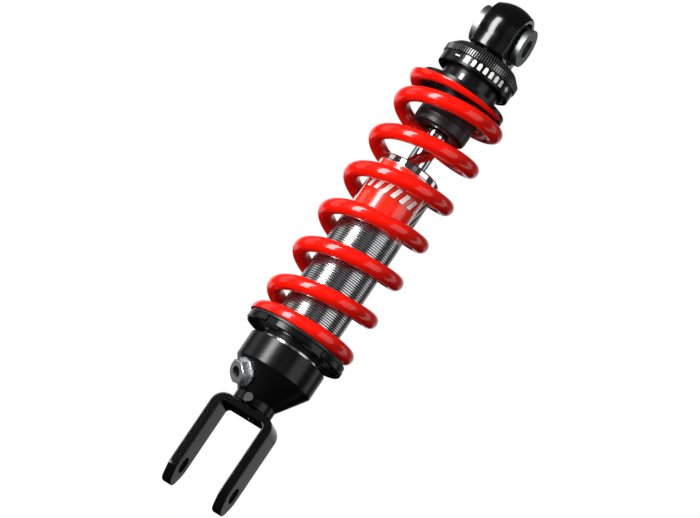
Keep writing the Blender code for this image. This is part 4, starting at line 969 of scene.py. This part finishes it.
# ------------------------------------------------------------ rebound adjuster
# A plain turned body is screwed down on the rod's thread; a click ring turns over it.
# The ring's grip and cone are straight knurled, its skirt is smooth and carries the scale.
body_low, body_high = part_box("adjuster_body")
body_radius = 19.6 * MM
body_bore = 6.3 * MM
detent_radius = 15.5 * MM
detent_hole = 3.6 * MM
detent_depth = 7.0 * MM
adjuster = piece("adjuster_hub", turned(eased([
    (body_bore, (body_low.z + body_high.z) / 2), (body_bore, body_low.z),
    (body_radius, body_low.z), (body_radius, body_high.z), (body_bore, body_high.z),
    (body_bore, (body_low.z + body_high.z) / 2)], 0.5 * MM), 128), anodised_turned)
carve(adjuster, drill(detent_hole, (0, detent_radius, body_high.z - detent_depth), (0, 0, 1),
                      detent_depth + MM, 32))
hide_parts("adjuster_body")
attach(adjuster, "rod")

click_low, click_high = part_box("rebound_ring")
skirt_radius = 25.4 * MM
skirt_height = 6.9 * MM
grip_radius = 26.2 * MM
grip_height = 5.1 * MM
top_radius = 21.6 * MM
ring_bore = 12.3 * MM
recess_bore = 22.6 * MM
ring_recess = 2.3 * MM
knurls = 100
# Faces on the knurl's crests, which get the painted highlight.
highlight_crest_faces = set()
knurl_depth = 0.4 * MM


def knurled_ring():
    """Ring whose grip and cone rise and fall with each knurl."""
    mesh = bmesh.new()
    columns = knurls * 4
    grip_low = click_low.z + skirt_height
    grip_high = grip_low + grip_height
    rows = [(ring_bore, click_low.z + ring_recess, 0), (recess_bore, click_low.z + ring_recess, 0),
            (recess_bore, click_low.z + 0.3 * MM, 0), (recess_bore + 0.3 * MM, click_low.z, 0),
            (skirt_radius - 0.6 * MM, click_low.z, 0), (skirt_radius - 0.15 * MM, click_low.z + 0.2 * MM, 0),
            (skirt_radius, click_low.z + 0.6 * MM, 0), (skirt_radius, grip_low - 0.1 * MM, 0),
            (skirt_radius + 0.2 * MM, grip_low + 0.1 * MM, 0),
            (grip_radius - 0.2 * MM, grip_low + 0.25 * MM, 0),
            (grip_radius, grip_low + 0.7 * MM, 1), (grip_radius, grip_high - 0.4 * MM, 1),
            (grip_radius - 0.4 * MM, grip_high, 1),
            (top_radius + 0.5 * MM, click_high.z - 0.6 * MM, 1),
            (top_radius - 0.2 * MM, click_high.z - 0.1 * MM, 0),
            (top_radius - 0.6 * MM, click_high.z, 0), (ring_bore + 0.3 * MM, click_high.z, 0),
            (ring_bore, click_high.z - 0.3 * MM, 0)]
    rings = []
    for radius, height, cut in rows:
        points = []
        for column in range(columns):
            turn = math.tau * column / columns
            dip = cut * knurl_depth * (0.0, 0.0, 1.0, 1.0)[column % 4]
            points.append(mesh.verts.new(((radius - dip) * math.cos(turn),
                                          (radius - dip) * math.sin(turn), height)))
        rings.append(points)
    rings.append(rings[0])
    for (one, first), (two, second) in zip(zip(rings, rows), zip(rings[1:], rows[1:] + rows[:1])):
        for column in range(columns):
            after = (column + 1) % columns
            # Crest faces of the knurled rows are kept for the painted highlight.
            if first[2] and second[2] and column % 4 == 0:
                highlight_crest_faces.add(len(mesh.faces))
            mesh.faces.new((one[column], one[after], two[after], two[column]))
    return mesh


# The knurl's crests are painted a light grey, a painted highlight for the light they catch, and show as fine
# grey lines.
crest_painted_highlight = grained(
    finish("knurl_crest_painted_highlight", "#8c8d90", 0.8, 0.3),
    ("#808184", "#98999b"), patch=5 * MM, grain=0.5 * MM, depth=0.0006 * MM,
    roughness=(0.25, 0.36))
click_ring = piece("knurled_click_ring", knurled_ring(), anodised_turned, sharp=24)
click_ring.data.materials.append(crest_painted_highlight)
# The crest faces take the painted highlight's grey.
for face in click_ring.data.polygons:
    if face.index in highlight_crest_faces:
        face.material_index = 1
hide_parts("rebound_ring")
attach(click_ring, "rebound")

# White epoxy ink, pad printed into the scale: dead flat white, a hair thick at its edges.
white_ink = grained(
    finish("white_marking_ink", "#efefec", 0.0, 0.45),
    ("#e6e6e2", "#f5f5f2"), patch=2 * MM, grain=0.3 * MM, depth=0.004 * MM,
    roughness=(0.4, 0.55))
# The scale: a block for the softest click, then six round-topped bars 10 degrees apart,
# with a plain minus before them and a plain plus after them.
scale_middle = 17.0
scale_low = click_low.z + 1.9 * MM
scale_high = click_low.z + 6.5 * MM
ink_gap = 0.02 * MM
ink_thickness = 0.05 * MM


def ink_mark(name, middle, outline, radius, body):
    """Thin closed ink patch on a cylinder, from points in millimetres round it and up it."""
    mesh = bmesh.new()
    sheets = []
    for reach in (radius + ink_gap, radius + ink_gap + ink_thickness):
        sheet = []
        for along, height in outline:
            turn = math.radians(middle) + along / radius
            sheet.append(mesh.verts.new((reach * math.sin(turn), -reach * math.cos(turn), height)))
        sheets.append(sheet)
    inner, outer = sheets
    mesh.faces.new(outer)
    mesh.faces.new(inner[::-1])
    for index in range(len(outline)):
        after = (index + 1) % len(outline)
        mesh.faces.new((inner[index], inner[after], outer[after], outer[index]))
    bmesh.ops.triangulate(mesh, faces=[face for face in mesh.faces if len(face.verts) > 4])
    made = piece(name, mesh, white_ink)
    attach(made, body)
    return made


def block(width, low, high):
    return [(-width / 2, low), (width / 2, low), (width / 2, high), (-width / 2, high)]


ink_mark("scale_block", scale_middle - 24.3, block(3.6 * MM, scale_low, scale_high), skirt_radius,
         "rebound")
bar_width = 2.5 * MM
for index in range(6):
    crown = arc((0, scale_high - bar_width / 2), bar_width / 2, 0, 180, 8)
    outline = [(-bar_width / 2, scale_low), (bar_width / 2, scale_low)] + crown
    ink_mark("scale_bar_%d" % (index + 1), scale_middle - 12.7 + 10.0 * index, outline,
             skirt_radius, "rebound")
sign_middle = (scale_low + scale_high) / 2
sign_length = 3.6 * MM
sign_width = 0.9 * MM
ink_mark("scale_minus", scale_middle - 41, block(sign_length, sign_middle - sign_width / 2,
                                                 sign_middle + sign_width / 2), skirt_radius,
         "rebound")
long, short = sign_length / 2, sign_width / 2
ink_mark("scale_plus", scale_middle + 53, [
    (x, sign_middle + z) for x, z in (
        (-short, -long), (short, -long), (short, -short), (long, -short), (long, short),
        (short, short), (short, long), (-short, long), (-short, short), (-long, short),
        (-long, -short), (-short, -short))], skirt_radius, "rebound")
ink_mark("index_mark", scale_middle - 22, block(2.2 * MM, body_low.z + 1.6 * MM,
                                                body_low.z + 6.4 * MM), body_radius, "rod")

# ------------------------------------------------------------------- upper eye
# A forged aluminium eye, screwed on the rod: a crowned barrel round the bearing on a
# block and a round neck. Gloss black anodised after its faces and bore were machined.
eye_low, eye_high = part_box("upper_eye")
race_low, race_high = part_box("bearing_race")
eye_centre = Vector((0, 0, (race_low.z + race_high.z) / 2))
eye_crown_radius = eye_high.z - eye_centre.z
eye_half = eye_high.x
eye_crown = 2.5 * MM
eye_edge = 1.3 * MM
eye_block_top = 8.4 * MM
eye_block_bottom = 17.0 * MM
eye_ledge = 0.2 * MM
eye_block_half = 19.2 * MM
eye_neck = 12.0 * MM
eye_bore = 13.3 * MM
# The chamfer is wide enough for the spacers' heads at the bearing's full tilt.
eye_bore_chamfer = 1.8 * MM
eye_bare_rim = 0.35 * MM
eye_groove = 14.5 * MM
clip_centre = 5.3 * MM
clip_room = 0.8 * MM


def eye_blank():
    """Barrel and block as one loft along X, its edge drawn in towards both faces."""
    start = math.degrees(math.asin(eye_block_top / eye_crown_radius))
    corner = 2.0 * MM
    low = -eye_block_bottom + corner
    barrel = arc((0, 0), eye_crown_radius, -start, 180 + start, 64)
    side = [(eye_block_half + eye_ledge, -eye_block_top - 0.1 * MM)]
    side += arc((eye_block_half + eye_ledge - corner, low), corner, 0, -90, 5)
    outline = barrel + [(-y, z) for y, z in side] + side[::-1]
    flat_end = eye_half - eye_edge
    stations = [(flat_end * step / 8, eye_crown * (step / 8) ** 2) for step in range(9)]
    stations += [(x, eye_crown + eye_edge - y)
                 for x, y in arc((flat_end, 0), eye_edge, 82, 0, 6)]
    stations = [(-x, draw) for x, draw in stations[:0:-1]] + stations
    mesh = bmesh.new()
    rings = []
    for x, draw in stations:
        ring = []
        for y, z in outline:
            inward = Vector((y, z)).normalized() * draw
            if z < -eye_block_top:
                inward = Vector((math.copysign(draw, y), 0))
            ring.append(mesh.verts.new((x, y - inward.x, z - inward.y)))
        rings.append(ring)
    for one, two in zip(rings, rings[1:]):
        for index in range(len(outline)):
            after = (index + 1) % len(outline)
            mesh.faces.new((one[index], one[after], two[after], two[index]))
    mesh.faces.new(rings[0])
    mesh.faces.new(rings[-1])
    return mesh


# Bright-dipped black anodising: glassy and deep, with only a breath of unevenness left
# from the forging's polish, in patches a few millimetres across.
anodised_gloss = grained(
    finish("bright_dipped_black_aluminium", "#050506", 0.0, 0.2, Coat_Weight=0.3,
           Coat_Roughness=0.08),
    ("#040405", "#080809"), patch=8 * MM, grain=5 * MM, depth=0.001 * MM,
    roughness=(0.15, 0.2))
eye = piece("forged_eye", eye_blank(), anodised_gloss, Matrix.Translation(eye_centre), sharp=40)
neck_top = eye_centre.z - eye_block_bottom + 2 * MM
carve(eye, piece("neck", turned([
    (0, eye_low.z), (eye_neck - 0.4 * MM, eye_low.z), (eye_neck, eye_low.z + 0.4 * MM),
    (eye_neck, neck_top), (0, neck_top)], 96), None), operation="UNION")
bore_profile = [(0, -eye_half - spare), (eye_bore + eye_bore_chamfer, -eye_half - spare),
                (eye_bore + eye_bore_chamfer, -eye_half),
                (eye_bore + eye_bore_chamfer - eye_bare_rim, eye_bare_rim - eye_half),
                (eye_bore, eye_bore_chamfer - eye_half)]
for middle in (-clip_centre, clip_centre):
    bore_profile += [(eye_bore, middle - clip_room), (eye_groove, middle - clip_room),
                     (eye_groove, middle + clip_room), (eye_bore, middle + clip_room)]
bore_profile += [(eye_bore, eye_half - eye_bore_chamfer),
                 (eye_bore + eye_bore_chamfer - eye_bare_rim, eye_half - eye_bare_rim),
                 (eye_bore + eye_bore_chamfer, eye_half),
                 (eye_bore + eye_bore_chamfer, eye_half + spare), (0, eye_half + spare)]
carve(eye, piece("bore", turned(bore_profile, 128), None, aimed(eye_centre, (1, 0, 0))))
pin_low, pin_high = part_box("cam_pin")
needle_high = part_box("rebound_needle")[1]
pin_slot_half = 1.5 * MM
pin_travel = 1.5 * MM
slot_tool = [(-pin_slot_half, pin_low.z - foot_fit - pin_travel),
             (pin_slot_half, pin_low.z - foot_fit - pin_travel),
             (pin_slot_half, pin_high.z + foot_fit), (-pin_slot_half, pin_high.z + foot_fit)]
across = Matrix(((0, 0, 1), (1, 0, 0), (0, 1, 0))).to_4x4()
carve(eye,
      drill(2 * (rod_thread + foot_fit), (0, 0, eye_low.z - MM), (0, 0, 1),
            rod_high.z + foot_fit - eye_low.z + MM, 48),
      drill(7.0 * MM, (0, 0, rod_high.z), (0, 0, 1),
            needle_high.z + 2 * foot_fit - rod_high.z, 32),
      piece("pin_slot", prism(slot_tool, -eye_half * 2, eye_half * 2), None, across))

# The outer rim of the bore's chamfer was faced after anodising: a thin bare metal line.
bare_aluminium = grained(
    finish("bare_machined_aluminium", "#d2d3d4", 1.0, 0.18),
    ("#c6c8ca", "#dededf"), patch=4 * MM, grain=0.25 * MM, depth=0.002 * MM,
    roughness=(0.12, 0.24))
eye.data.materials.append(bare_aluminium)
for face in eye.data.polygons:
    across_x = abs(face.center.x)
    from_axis = math.hypot(face.center.y, face.center.z - eye_centre.z)
    if across_x > eye_half - eye_bare_rim and from_axis < eye_bore + eye_bore_chamfer:
        face.material_index = 1
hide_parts("upper_eye")
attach(eye, "rod")

# ----------------------------------------------------------- spherical bearing
# Race and ball are ground bearing steel, held by two circlips. A lipped rubber seal
# fills each side, and turned, clear anodised spacers carry the bolt through the ball.
ball_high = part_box("bearing_ball")[1]
ball_sphere = 11.5 * MM
race_sphere = ball_sphere + foot_fit
ball_half = ball_high.x
race_half = race_high.x
sleeve_radius = 8.0 * MM
ball_bore = sleeve_radius + foot_fit


def sphere_arc(radius, half):
    """Points on a sphere's side between two heights."""
    limit = math.asin(half / radius)
    return [(radius * math.cos(limit * (step / 8 - 1)), radius * math.sin(limit * (step / 8 - 1)))
            for step in range(17)]


for name, node, outline in (
        ("ground_race", "bearing_race", [(13.0 * MM, race_half), (13.0 * MM, -race_half)]
         + sphere_arc(race_sphere, race_half)),
        ("ground_ball", "bearing_ball", [(ball_bore, ball_half), (ball_bore, -ball_half)]
         + sphere_arc(ball_sphere, ball_half))):
    made = piece(name, turned(outline, 96), ground_steel, aimed(eye_centre, (1, 0, 0)))
    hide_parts(node)
    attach(made, "ball" if node == "bearing_ball" else "rod")

# Turned and lightly tumbled aluminium: a satin silver, its marks drawn round the bore.
satin_turned = grained(
    finish("satin_turned_aluminium", "#9c9d9e", 1.0, 0.44),
    ("#929394", "#a6a7a8"), patch=6 * MM, grain=0.4 * MM, depth=0.0015 * MM,
    roughness=(0.4, 0.48), stretch=(1, 0.08, 0.08))
clip_outer = 14.2 * MM
clip_inner = 11.9 * MM
clip_thickness = 1.0 * MM
clip_gap = 20
seal_outer = 13.0 * MM
seal_bore = sleeve_radius + foot_fit
spacer_head = 12.7 * MM
spacer_relief = 1.0 * MM
spacer_bore = 6.0 * MM
spacer_head_length = 5.5 * MM
for side, sign in (("left", -1), ("right", 1)):
    outline = arc((0, 0), clip_outer, clip_gap / 2, 360 - clip_gap / 2, 72)
    outline += arc((0, 0), clip_inner, 360 - clip_gap / 2, clip_gap / 2, 72)
    clip = piece("spring_clip_" + side, prism(outline, -clip_thickness / 2, clip_thickness / 2),
                 black_oxide, aimed(eye_centre + Vector((sign * clip_centre, 0, 0)), (1, 0, 0)))
    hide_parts("circlip_" + side)
    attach(clip, "rod")

    seal_low, seal_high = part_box("dust_seal_" + side)
    seal_start = min(abs(seal_low.x), abs(seal_high.x))
    seal_end = max(abs(seal_low.x), abs(seal_high.x))
    length = seal_end - seal_start
    rim = math.sqrt(ball_sphere ** 2 - seal_start ** 2) + foot_fit
    throat = ball_half - seal_start + 3 * foot_fit
    seal = piece("lip_seal_" + side, turned(eased([
        (rim, 0), (seal_outer, 0), (seal_outer, length * 0.56),
        (seal_outer - 0.8 * MM, length * 0.62), (seal_outer - 0.9 * MM, length * 0.72),
        (seal_outer - 0.2 * MM, length * 0.78), (seal_outer - 0.3 * MM, length * 0.86),
        (seal_outer - 1.3 * MM, length * 0.9), (seal_outer - 1.2 * MM, length),
        (seal_bore, length), (seal_bore, throat), (rim, 0)], 0.15 * MM), 96), nitrile,
        aimed(eye_centre + Vector((sign * seal_start, 0, 0)), (sign, 0, 0)))
    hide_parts("dust_seal_" + side)
    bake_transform(seal, "rod", "ball",
             start=eye_centre + Vector((sign * (seal_start + 0.3 * length), 0, 0)),
             end=eye_centre + Vector((sign * seal_end, 0, 0)))
    # The seal's bore follows the ball right through; only its rim stays with the eye.
    follow = [0.0] * len(seal.data.vertices)
    seal.data.attributes["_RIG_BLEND"].data.foreach_get("value", follow)
    for index, vertex in enumerate(seal.data.vertices):
        from_axis = math.hypot(vertex.co.y, vertex.co.z - eye_centre.z)
        inward = (seal_outer - from_axis) / (seal_outer - seal_bore)
        follow[index] = min(max(follow[index], inward, 0.0), 1.0)
    seal.data.attributes["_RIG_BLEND"].data.foreach_set("value", follow)

    spacer_low, spacer_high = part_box("spacer_" + side)
    span = max(abs(spacer_low.x), abs(spacer_high.x))
    head_face = span - spacer_head_length
    spacer = piece("turned_spacer_" + side, turned(eased([
        (spacer_bore, span / 2), (spacer_bore, foot_fit), (sleeve_radius, foot_fit),
        (sleeve_radius, head_face), (spacer_head - spacer_relief, head_face),
        (spacer_head, head_face + spacer_relief), (spacer_head, span),
        (spacer_bore, span), (spacer_bore, span / 2)], 0.45 * MM), 128), satin_turned,
        aimed(eye_centre, (sign, 0, 0)))
    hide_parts("spacer_" + side)
    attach(spacer, "spacers")

# ------------------------------------------------------- floor, light, camera
# A plain pale floor well under the part, a white room behind it and soft boxes round
# it: a tall bright strip at the left, a broad weak one at the right, weak ones elsewhere.
middle = (cad_box[0] + cad_box[1]) / 2
camera_turn = 17.0
floor_height = -0.62
floor_half = 30.0
board_glow = 0.68
floor_mesh = bmesh.new()
bmesh.ops.create_grid(floor_mesh, x_segments=8, y_segments=8, size=floor_half)
# Matt studio board: an even, warm off-white with a faint mottle. Only the camera sees it
# pale; to bounced light it is dark, so that it doesn't wash out the black parts.
studio_board = grained(
    finish("studio_board", "#ededeb", 0.0, 0.8, Specular_IOR_Level=0.1),
    ("#eaeae8", "#f0f0ee"), patch=0.5, grain=40 * MM, depth=0.1 * MM, roughness=(0.75, 0.9))
direct = add_node(studio_board, "LightPath").outputs["Is Camera Ray"]
shadow = add_node(studio_board, "BsdfDiffuse", {"Color": linear("#202020")})
board_shader = studio_board.node_tree.nodes["Principled BSDF"]
board_shader.inputs["Emission Color"].default_value = linear("#ffffff")
board_shader.inputs["Emission Strength"].default_value = board_glow
board = board_shader.outputs["BSDF"]
either = add_node(studio_board, "MixShader", {0: direct, 1: shadow.outputs[0], 2: board})
surface = studio_board.node_tree.nodes["Material Output"].inputs["Surface"]
studio_board.node_tree.links.new(either.outputs[0], surface)
floor = piece("studio_floor", floor_mesh, studio_board, Matrix.Translation((0, 0, floor_height)))

world = bpy.data.worlds.new("studio")
bpy.context.scene.world = world
world.use_nodes = True
world.node_tree.nodes.clear()
# The room is dark round the camera and white behind the part; the camera itself sees
# only white, whichever way it looks.
sky = add_node(world, "TexCoord").outputs["Generated"]
behind = math.radians(camera_turn + 180)
facing = add_node(world, "VectorMath", {0: sky, 1: (math.sin(behind), -math.cos(behind), 0)},
                  operation="DOT_PRODUCT")
glow = add_node(world, "MapRange", {"Value": facing.outputs["Value"], "From Min": 0.7,
                                    "From Max": 0.95, "To Min": 0.06, "To Max": 0.75},
                interpolation_type="SMOOTHSTEP")
seen = add_node(world, "LightPath").outputs["Is Camera Ray"]
room = add_node(world, "Background", {"Strength": glow.outputs["Result"]})
backdrop = add_node(world, "Background", {"Color": linear("#ffffff"), "Strength": 1.0})
shade = add_node(world, "MixShader", {0: seen, 1: room.outputs[0], 2: backdrop.outputs[0]})
add_node(world, "OutputWorld", {"Surface": shade.outputs[0]})

# Each box: degrees round from the camera, height over the part's middle, width,
# length and brightness of its surface in watts per square metre and steradian.
soft_boxes = {
    "key": (-47, 0.10, 0.36, 1.60, 16.0),
    "left_side": (-100, 0.10, 0.55, 1.60, 0.8),
    "front": (4, 0.10, 0.34, 1.50, 0.16),
    "right": (46, 0.10, 0.72, 1.60, 1.25),
    "right_side": (104, 0.10, 0.36, 1.60, 0.9),
    "back_left": (-150, 0.10, 0.40, 1.60, 0.5),
}
ring_distance = 1.15
for name, (turn, rise, width, length, brightness) in soft_boxes.items():
    lamp = bpy.data.lights.new(name, "AREA")
    lamp.shape = "RECTANGLE"
    lamp.size = width
    lamp.size_y = length
    lamp.energy = brightness * math.pi * width * length
    around = math.radians(camera_turn + turn)
    place = middle + Vector((math.sin(around), -math.cos(around), 0)) * ring_distance
    place.z += rise
    box = bpy.data.objects.new(name, lamp)
    box.location = place
    box.rotation_mode = "QUATERNION"
    flat = Vector((middle.x - place.x, middle.y - place.y, 0))
    box.rotation_quaternion = flat.to_track_quat("-Z", "Y")
    box.visible_camera = False
    bpy.context.collection.objects.link(box)

# A weak round one straight above, seen in no reflection.
overhead_radius = 0.7
overhead_brightness = 0.6
overhead_height = 1.2
overhead = bpy.data.lights.new("overhead", "AREA")
overhead.shape = "DISK"
overhead.size = 2 * overhead_radius
overhead.energy = overhead_brightness * math.pi * math.pi * overhead_radius ** 2
top = bpy.data.objects.new("overhead", overhead)
top.location = middle + Vector((0, 0, overhead_height))
top.visible_camera = False
top.visible_glossy = False
bpy.context.collection.objects.link(top)

# A long lens from below and to the right of the front, rolled so that the part leans.
lens = 200.9
camera_place = Vector((0.69079, -2.25955, -0.30318))
turn_vector = Vector((1.2454, 0.5951, 0.2485))
to_camera = Matrix.Rotation(turn_vector.length, 3, turn_vector)
upright = Matrix(((1, 0, 0), (0, -1, 0), (0, 0, -1)))
camera_data = bpy.data.cameras.new("camera")
camera_data.lens = lens
camera_data.clip_end = 100.0
camera = bpy.data.objects.new("camera", camera_data)
camera.matrix_world = Matrix.Translation(camera_place) @ (upright @ to_camera).transposed().to_4x4()
bpy.context.collection.objects.link(camera)
bpy.context.scene.camera = camera
bpy.context.scene.view_settings.view_transform = "Standard"
